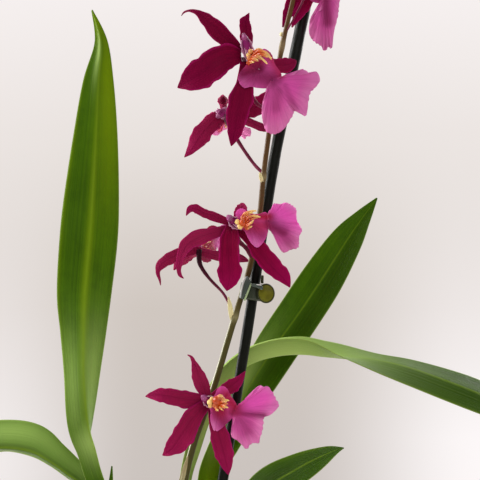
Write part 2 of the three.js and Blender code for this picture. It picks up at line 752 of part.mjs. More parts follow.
function column(bloom, grow = 0) {
  const hub = seen(bloom.hub);
  const away = hub.clone().sub(seen(bloom.lip.line[2])).normalize();
  const face = new THREE.Vector3(...bloom.face).normalize();
  const path = (u) => hub.clone().addScaledVector(face, columnStart + columnLength * u);
  const place = (u) => path(u).addScaledVector(away, 1 + columnLean * u * u);
  return stem(place, (u) => smooth(columnShape, u)[0], 7, 4, grow);
}

// The callus: a low cushion on the lip's base with a few blunt fingers that point along the lip.
function callus(bloom) {
  const path = along(bloom.lip.line);
  const face = new THREE.Vector3(...bloom.face).normalize();
  const lift = (u, up) => path(u).addScaledVector(face, up);
  const girth = (u) => 1.6 + 1.5 * Math.sin(Math.PI * u);
  const cushion = stem((u) => lift(0.06 + 0.26 * u, 1.2), girth, 5, 2);
  const fingers = [-1, 0, 1].map((k) => {
    const { side } = axesAt(path, 0.3, face, 0);
    const rise = (u) => lift(0.2 + 0.3 * u, 1.8 + 1.6 * u * (1.2 - u));
    const place = (u) => rise(u).addScaledVector(side, k * (1.6 + 1.3 * u));
    return stem(place, (u) => lerp(0.95, 0.6, u), 4, 2);
  });
  return joined([cushion, ...fingers]);
}

// Buds at the end of the spike
const buds = {
  bud_lower: { stalk: [[73.5, 512, -12], [77, 517, -10.5], [82, 520, -9]], tip: [92, 524, -6], radius: 4 },
  bud_middle: { stalk: [[74, 524, -11.5], [71, 529, -9], [68, 533, -8]], tip: [60, 539, -5], radius: 3.4 },
  bud_tip: { stalk: [[74, 530, -11], [75, 534, -10.5], [76, 537, -10]], tip: [79, 547, -8], radius: 2.7 },
};

function bud({ stalk, tip, radius }) {
  const last = stalk[stalk.length - 1];
  const body = along([last, last.map((v, k) => (v + tip[k]) / 2), tip]);
  const shape = [[0.4], [0.92], [1], [0.72], [0.15]];
  const swelling = stem(body, (u) => radius * smooth(shape, u)[0], 7, 6);
  return stem(along(stalk), () => budStalkRadius, 5, 3).add(swelling);
}

// Assembly: what touches a neighbour is cut back from it by the clearance
const orchid = new THREE.Group();
const plant = new THREE.Group();
const inflorescence = new THREE.Group();
orchid.add(plant, inflorescence);

function addPiece(group, name, body, material) {
  const mesh = new THREE.Mesh(geometryOf(mainBody(body)), material);
  mesh.name = name;
  group.add(mesh);
  return mesh;
}

const grownBulbs = Object.values(bulbs).map((one) => bulb(one, clearance));
const grownLeaves = Object.entries(leaves).map(([name, stations]) => {
  return leaf(stations, { rows: leafRows[name] ?? 16, grow: clearance });
});
const standing = [...grownBulbs, ...grownLeaves, cane(clearance), spike(clearance)];

addPiece(orchid, "pot", potSolid(), materials.pot);
addPiece(orchid, "bark_medium", barkSolid(standing), materials.bark);
for (const [name, one] of Object.entries(bulbs)) addPiece(plant, name, bulb(one), materials.bulb);
for (const [name, stations] of Object.entries(leaves)) {
  const blade = leaf(stations, { rows: leafRows[name] ?? 16 });
  addPiece(plant, name, cutBy(blade, grownBulbs), materials.leaf);
}
addPiece(orchid, "stake", cane(), materials.cane);
addPiece(inflorescence, "spike_stem", cutBy(spike(), grownBulbs), materials.stem);

const clip = new THREE.Group();
clip.position.set(clipPlace.x, clipPlace.y, clipPlace.z);
clip.rotation.y = clipPlace.lean;
addPiece(clip, "clip_collar", clipBody(), materials.clip);
addPiece(clip, "clip_button", clipButton(), materials.button);
orchid.add(clip);

for (const [name, bloom] of Object.entries(blooms)) {
  const head = new THREE.Group();
  const roomForColumn = column(bloom, clearance);
  const roomForTepals = tepals(bloom, clearance);
  const roomForLip = lip(bloom, clearance);
  addPiece(head, `${name}_column`, column(bloom), materials.column);
  addPiece(head, `${name}_tepals`, cutBy(tepals(bloom), [roomForColumn, spike(clearance)]), materials.tepal);
  addPiece(head, `${name}_lip`, cutBy(lip(bloom), [roomForColumn, roomForTepals]), materials.lip);
  const cushion = cutBy(callus(bloom), [roomForColumn, roomForTepals, roomForLip]);
  addPiece(head, `${name}_callus`, cushion, materials.callus);
  inflorescence.add(head);
}
for (const [name, one] of Object.entries(buds)) {
  addPiece(inflorescence, name, cutBy(bud(one), [spike(clearance)]), materials.bud);
}

export default orchid;
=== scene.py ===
import math

import bmesh
import bpy
import numpy as np
from bpy.props import FloatProperty, FloatVectorProperty, IntProperty, PointerProperty
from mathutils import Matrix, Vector


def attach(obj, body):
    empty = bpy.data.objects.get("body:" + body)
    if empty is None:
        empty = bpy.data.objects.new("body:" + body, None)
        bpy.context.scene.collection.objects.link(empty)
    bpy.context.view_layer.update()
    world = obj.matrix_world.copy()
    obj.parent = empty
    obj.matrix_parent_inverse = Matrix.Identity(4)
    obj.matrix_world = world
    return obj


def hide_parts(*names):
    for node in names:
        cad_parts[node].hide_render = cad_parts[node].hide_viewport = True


bl_info = {
    "name": "Potted cambria orchid",
    "version": (1, 0, 0),
    "blender": (4, 5, 0),
    "location": "View3D > Sidebar > Orchid",
    "description": "Builds the leaves, blooms, spike, clip, pot and bark of a potted cambria orchid",
    "category": "Object",
}

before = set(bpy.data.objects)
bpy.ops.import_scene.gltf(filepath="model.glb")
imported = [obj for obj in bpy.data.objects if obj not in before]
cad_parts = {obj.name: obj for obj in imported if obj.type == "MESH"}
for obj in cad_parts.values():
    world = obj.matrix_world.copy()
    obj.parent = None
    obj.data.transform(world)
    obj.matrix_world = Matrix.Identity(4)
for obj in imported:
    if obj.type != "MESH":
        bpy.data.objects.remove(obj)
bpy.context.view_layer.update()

# The drawing that the plant is built from is a front elevation in millimetres, at true size on the
# plane of the spike, as an eye at EYE sees it. A place on it is x, z and the depth behind that plane.
MM = 0.001
EYE = np.array([37.5, -750.0, 335.0])
TOWARDS_EYE = (0, -1, 0)
VIEW_WIDTH = 240  # seen by the camera on that plane
TURN = 2 * math.pi
MASKS = ("pale", "deep", "wine", "hot")

# Rows and columns of the grids that blades are made with, and the number of rings along rods.
LEAF_GRID, TEPAL_GRID, BRACT_GRID, FAN_GRID = (111, 27), (45, 17), (17, 11), (49, 61)
LOBE_RINGS, LOBE_TURNS = 27, 161
BULB_GRID, SHEATH_GRID = (41, 64), (27, 19)
STEM_RINGS, STAKE_RINGS, STALK_RINGS, COLUMN_RINGS, FINGER_RINGS, BUD_RINGS = 220, 160, 60, 36, 26, 40


def linear(code):
    """A colour of the form rrggbb as linear red, green and blue."""
    values = [int(code[k : k + 2], 16) / 255 for k in (0, 2, 4)]
    return tuple(c / 12.92 if c < 0.04045 else ((c + 0.055) / 1.055) ** 2.4 for c in values)


def steps(count, low=0, high=1):
    """Evenly spaced numbers from low to high."""
    return np.linspace(low, high, count)


def round_steps(sides):
    """Angles of the points of a ring."""
    return np.linspace(0, TURN, sides, endpoint=False)


def strip_steps(grid):
    """The way along a blade, from 0 to 1, and across it, from -1 to 1."""
    return steps(grid[0]), steps(grid[1], -1, 1)


def peak(x):
    """A soft hump, 1 at nought and almost gone beyond 2."""
    return np.exp(-(x**2))


def ease(low, high, x):
    """0 below low, 1 above high and smooth between."""
    t = np.clip((x - low) / (high - low), 0, 1)
    return t * t * (3 - 2 * t)


def smooth(rows, u, closed=False):
    """Values at each u, from 0 to 1, of a smooth curve through rows of numbers."""
    rows = np.asarray(rows, float)
    if rows.ndim == 1:
        rows = rows[:, None]
    count = len(rows)
    last = count if closed else count - 1
    at = np.minimum((u * last).astype(int), last - 1)
    f = (u * last - at)[:, None]
    near = at + np.arange(-1, 3)[:, None]
    a, b, c, d = rows[near % count if closed else np.clip(near, 0, count - 1)]
    bend = 2 * a - 5 * b + 4 * c - d
    twist = 3 * b - a - 3 * c + d
    return 0.5 * (2 * b + (c - a) * f + bend * f**2 + twist * f**3)


def seen(places):
    """Points in space of places on the front elevation."""
    places = np.asarray(places, float)
    depth = places[..., 2]
    scale = (depth - EYE[1]) / -EYE[1]
    x = EYE[0] + (places[..., 0] - EYE[0]) * scale
    z = EYE[2] + (places[..., 1] - EYE[2]) * scale
    return np.stack([x, depth, z], -1)


def along(line, count):
    """Evenly spaced points in space on a smooth line that is drawn on the elevation."""
    return seen(smooth(line, steps(count)))


def unit(vectors):
    length = np.linalg.norm(vectors, axis=-1, keepdims=True)
    return vectors / np.maximum(length, 1e-9)


def axes_along(points, towards, turn=0):
    """Tangent, face and side of a strip along points, with its face turned about the tangent in degrees."""
    tangent = unit(np.gradient(points, axis=0))
    towards = np.asarray(towards, float)
    face = unit(towards - tangent * (tangent @ towards)[:, None])
    turn = np.radians(np.broadcast_to(turn, len(points)))[:, None]
    face = face * np.cos(turn) + np.cross(tangent, face) * np.sin(turn)
    return tangent, face, np.cross(tangent, face)


def beside(path, side, across, face, rise):
    """A grid with a row of points at each point of a path, so far to its side and so far above its face."""
    return path[:, None] + side[:, None] * across[..., None] + face[:, None] * rise[..., None]


def numbered(rows, columns):
    """The numbers of a grid's points, and its map of along and across from its rows and columns."""
    v, u = np.meshgrid(steps(rows), steps(columns), indexing="ij")
    return np.arange(rows * columns).reshape(rows, columns), np.stack([u.ravel(), v.ravel()], 1)


class Shape:
    """Collects sheets and tubes, in millimetres, into one mesh with a map of along and across."""

    def __init__(self):
        self.points, self.faces, self.maps = [], [], []
        self.masks = {label: [] for label in MASKS}
        self.total = 0

    def add(self, points, faces, maps, **masks):
        self.points.append(points)
        self.maps.append(maps)
        for label, values in self.masks.items():
            values.append(np.broadcast_to(masks.get(label, 0), len(points)))
        self.faces += [[i + self.total for i in face] for face in faces]
        self.total += len(points)

    def sheet(self, grid, thickness, **masks):
        """A thin closed blade about a grid of points."""
        rows, columns = grid.shape[:2]
        normal = unit(np.cross(np.gradient(grid, axis=0), np.gradient(grid, axis=1)))
        weak = np.linalg.norm(normal, axis=-1) < 0.5
        normal[weak] = normal[1:-1].mean(axis=(0, 1))
        half = normal * np.broadcast_to(thickness, (rows, columns))[..., None] / 2
        points = np.concatenate([(grid + half).reshape(-1, 3), (grid - half).reshape(-1, 3)])
        at, maps = numbered(rows, columns)
        quads = np.stack([at[:-1, :-1], at[1:, :-1], at[1:, 1:], at[:-1, 1:]], -1).reshape(-1, 4)
        edge = np.concatenate([at[0], at[1:, -1], at[-1, -2::-1], at[-2:0:-1, 0]])
        after, back = np.roll(edge, -1), rows * columns
        rim = np.stack([edge, after, after + back, edge + back], 1)
        faces = np.concatenate([quads, quads[:, ::-1] + back, rim]).tolist()
        spread = lambda value: np.tile(np.broadcast_to(value, at.shape).ravel(), 2)
        masks = {label: spread(value) for label, value in masks.items()}
        self.add(points, faces, np.tile(maps, (2, 1)), **masks)

    def rings(self, points, **masks):
        """A solid through rows of rings of points, closed at both ends. Its masks go by the row."""
        rows, sides = points.shape[:2]
        at, maps = numbered(rows, sides)
        after = np.roll(at, -1, axis=1)
        quads = np.stack([at[:-1], after[:-1], after[1:], at[1:]], -1).reshape(-1, 4)
        masks = {label: np.repeat(np.broadcast_to(value, rows), sides) for label, value in masks.items()}
        faces = [*quads.tolist(), at[0, ::-1].tolist(), at[-1].tolist()]
        self.add(points.reshape(-1, 3), faces, maps, **masks)

    def tube(self, path, radius, sides, flat=1.0, **masks):
        """A round or flattened rod along a path."""
        tangent = unit(np.gradient(path, axis=0))
        arm = np.zeros_like(path)
        first = np.array((0, 1, 0) if abs(tangent[0, 1]) <= 0.9 else (1, 0, 0), float)
        for k in range(len(path)):
            first = unit(first - tangent[k] * (first @ tangent[k]))
            arm[k] = first
        other = np.cross(tangent, arm)
        angle = round_steps(sides)[None, :, None]
        ring = np.cos(angle) * arm[:, None] + flat * np.sin(angle) * other[:, None]
        self.rings(path[:, None] + ring * np.broadcast_to(radius, len(path))[:, None, None], **masks)

    def ball(self, at, radius, **masks):
        """A small rounded lump at a place on the elevation."""
        turn = math.pi * steps(12, 0.02, 0.98)
        line = seen([at]) - np.array([[0, 0, 1]]) * (np.cos(turn) * radius)[:, None]
        self.tube(line, np.maximum(np.sin(turn) * radius, 0.06), 14, **masks)

    def mesh(self, name):
        mesh = bpy.data.meshes.new(name)
        mesh.from_pydata((np.concatenate(self.points) * MM).tolist(), [], self.faces)
        mesh.validate()
        corners = np.zeros(len(mesh.loops), np.int32)
        mesh.loops.foreach_get("vertex_index", corners)
        mesh.uv_layers.new(name="strip").data.foreach_set("uv", np.concatenate(self.maps)[corners].ravel())
        for label, values in self.masks.items():
            layer = mesh.attributes.new(label, "FLOAT", "POINT")
            layer.data.foreach_set("value", np.concatenate(values).astype(np.float32))
        mesh.polygons.foreach_set("use_smooth", [True] * len(mesh.polygons))
        work = bmesh.new()
        work.from_mesh(mesh)
        bmesh.ops.recalc_face_normals(work, faces=work.faces)
        work.to_mesh(mesh)
        work.free()
        mesh.update()
        return mesh


def place(name, shape, material, slot, *nodes):
    """Puts a finished shape or mesh in the scene as the piece that stands for the named nodes."""
    mesh = shape.mesh(name) if isinstance(shape, Shape) else shape
    piece = bpy.data.objects.new(name, mesh)
    bpy.context.scene.collection.objects.link(piece)
    mesh.materials.clear()
    mesh.materials.append(material)
    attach(piece, "root")
    if nodes:
        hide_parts(*nodes)
    return piece


def add(tree, kind, values=None, **settings):
    """A node with its settings. Its sockets take values, or links from other nodes or their sockets."""
    made = tree.nodes.new(kind)
    for key, value in settings.items():
        setattr(made, key, value)
    for key, value in (values or {}).items():
        if isinstance(value, bpy.types.Node):
            value = value.outputs[0]
        if isinstance(value, bpy.types.NodeSocket):
            tree.links.new(value, made.inputs[key])
        else:
            made.inputs[key].default_value = value
    return made


def new_tree(kind, name, outputs, **inputs):
    """An empty node tree and its input sockets, whose kinds are given by their labels."""
    tree = bpy.data.node_groups.new(name, kind)
    for label, socket in inputs.items():
        tree.interface.new_socket(label, in_out="INPUT", socket_type="NodeSocket" + socket)
    for label, socket in outputs.items():
        tree.interface.new_socket(label, in_out="OUTPUT", socket_type="NodeSocket" + socket)
    return tree, add(tree, "NodeGroupInput").outputs


def math_node(tree, operation, a, b=0.0):
    return add(tree, "ShaderNodeMath", {0: a, 1: b}, operation=operation).outputs[0]


def mix(tree, factor, a, b):
    a, b = (value if isinstance(value, bpy.types.NodeSocket) else (*value, 1) for value in (a, b))
    return add(tree, "ShaderNodeMix", {0: factor, 6: a, 7: b}, data_type="RGBA").outputs[2]


def carry(tree, value, low, high, start=0.0, end=1.0, kind="LINEAR"):
    """A value carried from between low and high to between start and end, and held beyond them."""
    values = {"Value": value, "From Min": low, "From Max": high, "To Min": start, "To Max": end}
    return add(tree, "ShaderNodeMapRange", values, interpolation_type=kind).outputs[0]


def ramp(tree, value, low, high):
    """0 below low, 1 above high, smooth between."""
    return carry(tree, value, low, high, kind="SMOOTHSTEP")


def vein_group():
    """Streaks that run along a strip: how many lie across it, how long they are, and how hard."""
    sockets = {"Strip": "Vector", "Across": "Float", "Along": "Float", "Hardness": "Float"}
    group, given = new_tree("ShaderNodeTree", "Long veins", {"Vein": "Float"}, **sockets)
    split = add(group, "ShaderNodeSeparateXYZ", {0: given["Strip"]}).outputs
    across = math_node(group, "MULTIPLY", split[0], given["Across"])
    down = math_node(group, "MULTIPLY", split[1], given["Along"])
    joined = add(group, "ShaderNodeCombineXYZ", {0: across, 1: down})
    grain = add(group, "ShaderNodeTexNoise", {"Vector": joined, "Scale": 1, "Detail": 3})
    low = math_node(group, "MULTIPLY", given["Hardness"], 0.5)
    high = math_node(group, "SUBTRACT", 1, low)
    add(group, "NodeGroupOutput", {"Vein": carry(group, grain, low, high)})
    return group


def mottle_group():
    """Soft cloudy unevenness of a given size in the object's own space."""
    sockets = {"Scale": "Float", "Low": "Float", "High": "Float"}
    group, given = new_tree("ShaderNodeTree", "Mottle", {"Mottle": "Float"}, **sockets)
    space = add(group, "ShaderNodeTexCoord").outputs["Object"]
    cloud = add(group, "ShaderNodeTexNoise", {"Vector": space, "Scale": given["Scale"], "Detail": 4})
    add(group, "NodeGroupOutput", {"Mottle": carry(group, cloud, given["Low"], given["High"])})
    return group


def margin_group():
    """Masks of a strip's middle line and of its two margins, and the way along it."""
    outputs = {"Rib": "Float", "Margin": "Float", "Along": "Float"}
    sockets = {"Strip": "Vector", "Rib": "Float", "Margin": "Float"}
    group, given = new_tree("ShaderNodeTree", "Margins", outputs, **sockets)
    split = add(group, "ShaderNodeSeparateXYZ", {0: given["Strip"]}).outputs
    offset = math_node(group, "SUBTRACT", split[0], 0.5)
    off = math_node(group, "MULTIPLY", math_node(group, "ABSOLUTE", offset), 2)
    rib, rim = carry(group, off, given["Rib"], 0), carry(group, off, given["Margin"], 1)
    add(group, "NodeGroupOutput", {"Rib": rib, "Margin": rim, "Along": split[1]})
    return group


GROUPS = {}


def shared(tree, maker, values):
    """Outputs of a shared node group placed in a material with its own values."""
    if maker not in GROUPS:
        GROUPS[maker] = maker()
    return add(tree, "ShaderNodeGroup", values, node_tree=GROUPS[maker]).outputs


class Finish:
    """One material under construction, with the sockets that most of them read."""

    def __init__(self, name, roughness, **constants):
        self.material = bpy.data.materials.new(name)
        self.material.use_nodes = True
        self.tree = self.material.node_tree
        self.shader = self.tree.nodes["Principled BSDF"]
        for key, value in {"Roughness": roughness, **constants}.items():
            self.shader.inputs[key.replace("_", " ")].default_value = value
        self.strip = add(self.tree, "ShaderNodeUVMap", uv_map="strip").outputs[0]

    def mask(self, label):
        return add(self.tree, "ShaderNodeAttribute", attribute_name=label).outputs["Fac"]

    def veins(self, across, along_it, hardness=0.5):
        values = {"Strip": self.strip, "Across": across, "Along": along_it, "Hardness": hardness}
        return shared(self.tree, vein_group, values)[0]

    def mottle(self, scale, low=0.4, high=0.6):
        return shared(self.tree, mottle_group, {"Scale": scale, "Low": low, "High": high})[0]

    def margins(self, rib=0.03, margin=0.92):
        return shared(self.tree, margin_group, {"Strip": self.strip, "Rib": rib, "Margin": margin})

    def times(self, a, b):
        return math_node(self.tree, "MULTIPLY", a, b)

    def rest(self, a):
        """What is left of 1."""
        return math_node(self.tree, "SUBTRACT", 1, a)

    def colour(self, base, *layers):
        """Lays colours over a base: each layer is a mask or its label, its strength and its colour."""
        for factor, strength, colour in layers:
            factor = self.mask(factor) if isinstance(factor, str) else factor
            factor = factor if strength == 1 else self.times(factor, strength)
            base = mix(self.tree, factor, base, linear(colour) if isinstance(colour, str) else colour)
        self.tree.links.new(base, self.shader.inputs["Base Color"])

    def rough(self, factor, low, high):
        out = carry(self.tree, factor, 0, 1, low, high)
        self.tree.links.new(out, self.shader.inputs["Roughness"])

    def bump(self, height, distance, strength):
        """Relief of a given depth in metres."""
        values = {"Height": height, "Distance": distance, "Strength": strength}
        made = add(self.tree, "ShaderNodeBump", values)
        self.tree.links.new(made.outputs[0], self.shader.inputs["Normal"])


# Leaves: x, z and depth of the keel, half width, rise of the halves and turn from facing the eye.
LEAVES = {
    "leaf_left_tall": [
        (-14, 177, -3, 3.6, 72, -100), (-23, 197, -3, 6, 70, -100), (-31, 215, -3, 9.6, 66, -108),
        (-35.5, 230.5, -3, 10, 58, -118), (-39, 243, -3, 10.4, 44, -138), (-40.8, 266, -2, 11, 36, -166),
        (-40.7, 289, 0, 12.8, 26, -172), (-40.2, 308, 2, 14.4, 18, -170), (-37.9, 335, 4, 15, 12, -167),
        (-36.4, 355.5, 6, 14.3, 12, -167), (-34.6, 386, 8, 11.6, 12, -170),
        (-33.3, 413.5, 10, 8.2, 15, -174), (-32, 434, 10, 3.6, 20, -180), (-36.5, 450, 10, 0.4, 15, -180),
    ],
    "leaf_left_arching": [
        (-17, 177, 5, 3.6, 66, 185), (-23.5, 195, 7, 6, 60, 176), (-32.5, 207, 10, 8.5, 58, 168),
        (-41, 213, 12, 9.5, 56, 164), (-48, 217.8, 13, 11, 56, 162), (-57, 224.2, 14, 13, 54, 160),
        (-67.5, 229.8, 15, 16, 52, 158), (-82.5, 231.5, 15, 17, 58, 158.5),
        (-96.5, 228.8, 14, 16.8, 54, 160), (-111.5, 220.5, 12, 14.5, 48, 164),
        (-124.5, 205.5, 10, 9.5, 36, 172), (-132.5, 188, 8, 0.4, 20, 180),
    ],
    "leaf_left_shoot": [
        (-20.5, 92, -15, 4, 55, -60), (-24, 145, -19, 5.5, 50, -40), (-26, 175, -21, 5, 45, -30),
        (-27, 200, -21, 3.2, 40, -25), (-26.5, 222, -21, 0.4, 30, -20),
    ],
    "leaf_right_upright": [
        (16, 177, 13, 3.6, 66, -38), (21, 195, 16, 8, 64, -38), (26, 215, 20, 12.4, 60, -30),
        (29.5, 231, 23, 13.2, 56, -5), (38, 254.5, 27, 13.5, 46, 15), (52, 277.5, 31, 14.2, 38, 8),
        (68, 300, 34, 13.7, 34, 1), (79, 316.5, 36, 12.6, 30, 0), (91, 335, 38, 9.3, 26, -5),
        (99, 346.5, 39, 4.8, 22, -5), (106, 356, 40, 0.4, 15, 0),
    ],
    "leaf_right_arching": [
        (10.8, 169, 10.5, 3.6, 70, -92), (11, 197, 7, 5, 68, -92), (12.5, 215, 6, 6.5, 66, -92),
        (17, 230, 6, 9, 62, -92), (23.5, 249, 6, 10, 58, -92), (32, 264.6, 6, 10.8, 54, -92),
        (42.5, 273.2, 6, 11.8, 52, -90), (55, 277.2, 6, 12.7, 51, -90), (68, 278.3, 5, 13, 46, -88),
        (80.5, 277, 5, 13, 30, -84), (92.5, 276, 4, 13.2, 12, -80), (105.5, 274.5, 3, 13.3, -3, -75),
        (122.5, 270.5, 1, 13.4, -8, -64), (141, 264, -2, 13, -8, -55), (157.5, 257.5, -5, 12.6, -8, -52),
        (178.5, 247.5, -9, 11, -6, -56), (198.5, 235, -13, 7, 0, -60), (215.5, 221, -16, 0.4, 5, -64),
    ],
    "leaf_right_lower": [
        (24, 92, 0, 4, 60, -60), (26.5, 135, -2, 7, 55, -60), (31, 165, -4, 9, 42, -58),
        (38, 189, -6, 11.5, 25, -54), (50, 209, -8, 12.5, 10, -52), (67, 220.5, -10, 11.5, 2, -60),
        (80.5, 227.3, -11, 7, 5, -62), (89.5, 231, -12, 0.4, 15, -66),
    ],
}

# Painted light on a leaf: pale patches are painted sheen, dark ones painted shade, and yellowish ones
# painted light shining through it and along its edges. Each is middle and half length along, middle and
# half width across, and strength.
LEAF_LIGHT_AND_SHADE = {
    "leaf_left_tall": {
        "pale": [
            (0.37, 0.1, 0.6, 0.5, 0.4), (0.385, 0.1, -0.5, 0.6, 0.55), (0.25, 0.06, 0, 1, 0.7),
            (0.91, 0.05, 0.25, 0.2, 0.9),
        ],
        "deep": [(0.6, 0.15, 0.5, 0.5, 0.3), (0.08, 0.08, 0, 1.2, 0.6)],
        "hot": [
            (0.84, 0.14, -0.6, 0.6, 0.9), (0.7, 0.3, 1, 0.12, 0.7), (0.97, 0.05, 0, 1.5, 0.9),
            (0.55, 0.3, 0, 0.14, 0.9),
        ],
    },
    "leaf_left_arching": {
        "pale": [(0.6, 0.4, -0.6, 0.5, 0.6)],
        "deep": [(0.25, 0.15, 0.3, 0.6, 0.4), (0.6, 0.4, 0, 0.14, 0.7)],
        "hot": [(0.6, 0.4, 0.95, 0.3, 0.8)],
    },
    "leaf_left_shoot": {"deep": [(0.5, 1, 0, 2, 0.7)]},
    "leaf_right_upright": {
        "pale": [(0.4, 0.11, -0.6, 0.55, 0.8)], "deep": [(0.66, 0.42, 0.55, 0.6, 0.7)],
        "hot": [(0.18, 0.16, -0.2, 0.9, 1)],
    },
    "leaf_right_arching": {
        "pale": [
            (0.42, 0.2, -0.2, 1.4, 1), (0.24, 0.16, 0, 1.5, 0.85), (0.1, 0.14, 1, 0.14, 1),
            (0.1, 0.14, -1, 0.14, 1),
        ],
        "deep": [(0.8, 0.22, -0.6, 0.5, 1), (0.8, 0.24, 0.3, 1.4, 0.9)], "hot": [(0.8, 0.3, 1, 0.1, 0.8)],
    },
    "leaf_right_lower": {"deep": [(0.5, 0.6, 0, 1.6, 1)], "hot": [(0.8, 0.2, -1, 0.15, 0.8)]},
}

CANE_LINE = [
    (9.5, 92, -8), (29, 215, -8), (42, 295, -8), (47.3, 330, -8), (53, 365, -8), (56.5, 385, -8),
    (64.5, 424.5, -8), (70, 452, -8), (76, 483, -8),
]
SPIKE_LINE = [
    (3, 92, -4), (5.5, 155, -7), (7.5, 195, -9), (10, 215, -10), (15, 235, -10.5), (24, 260, -10.5),
    (33, 290, -11), (39, 310, -11), (43.5, 326, -12), (47.5, 349, -12.5), (49, 365, -12.5),
    (51.5, 385, -13), (57.5, 426.5, -15.5), (64, 455, -17), (69.5, 480, -16), (73, 505, -13),
    (74, 530, -11),
]

# Where the spike's nodes lie along it, and the bracts there, by rows as on a tepal.
NODES_AT = (0.168, 0.393, 0.522, 0.63, 0.76, 0.885)
BRACTS = [
    [(7.2, 208, -12, 0.9), (8.4, 215, -13.2, 1.3), (10.2, 222, -14, 0.9), (11.4, 227, -14, 0.2)],
    [(33.6, 295, -11, 1), (32.8, 300, -13, 1.2), (32.2, 304, -14, 0.8), (31.6, 306.8, -14, 0.15)],
    [(44.6, 333, -13, 1), (44.2, 336.5, -15, 1.2), (43.8, 339.5, -15.5, 0.2)],
    [(48.6, 364, -13.5, 0.7), (47.9, 366.4, -15, 0.9), (47.3, 368.8, -15.5, 0.3)],
    [(72.3, 492, -15, 1), (71.2, 495, -17, 1.2), (70.6, 498, -17.5, 0.2)],
]
NODE_KNOB = (58.3, 437.8, -15.5)
NODE_LENGTH, NODE_SWELL, BRACT_THICK = 0.006, 0.35, 0.35
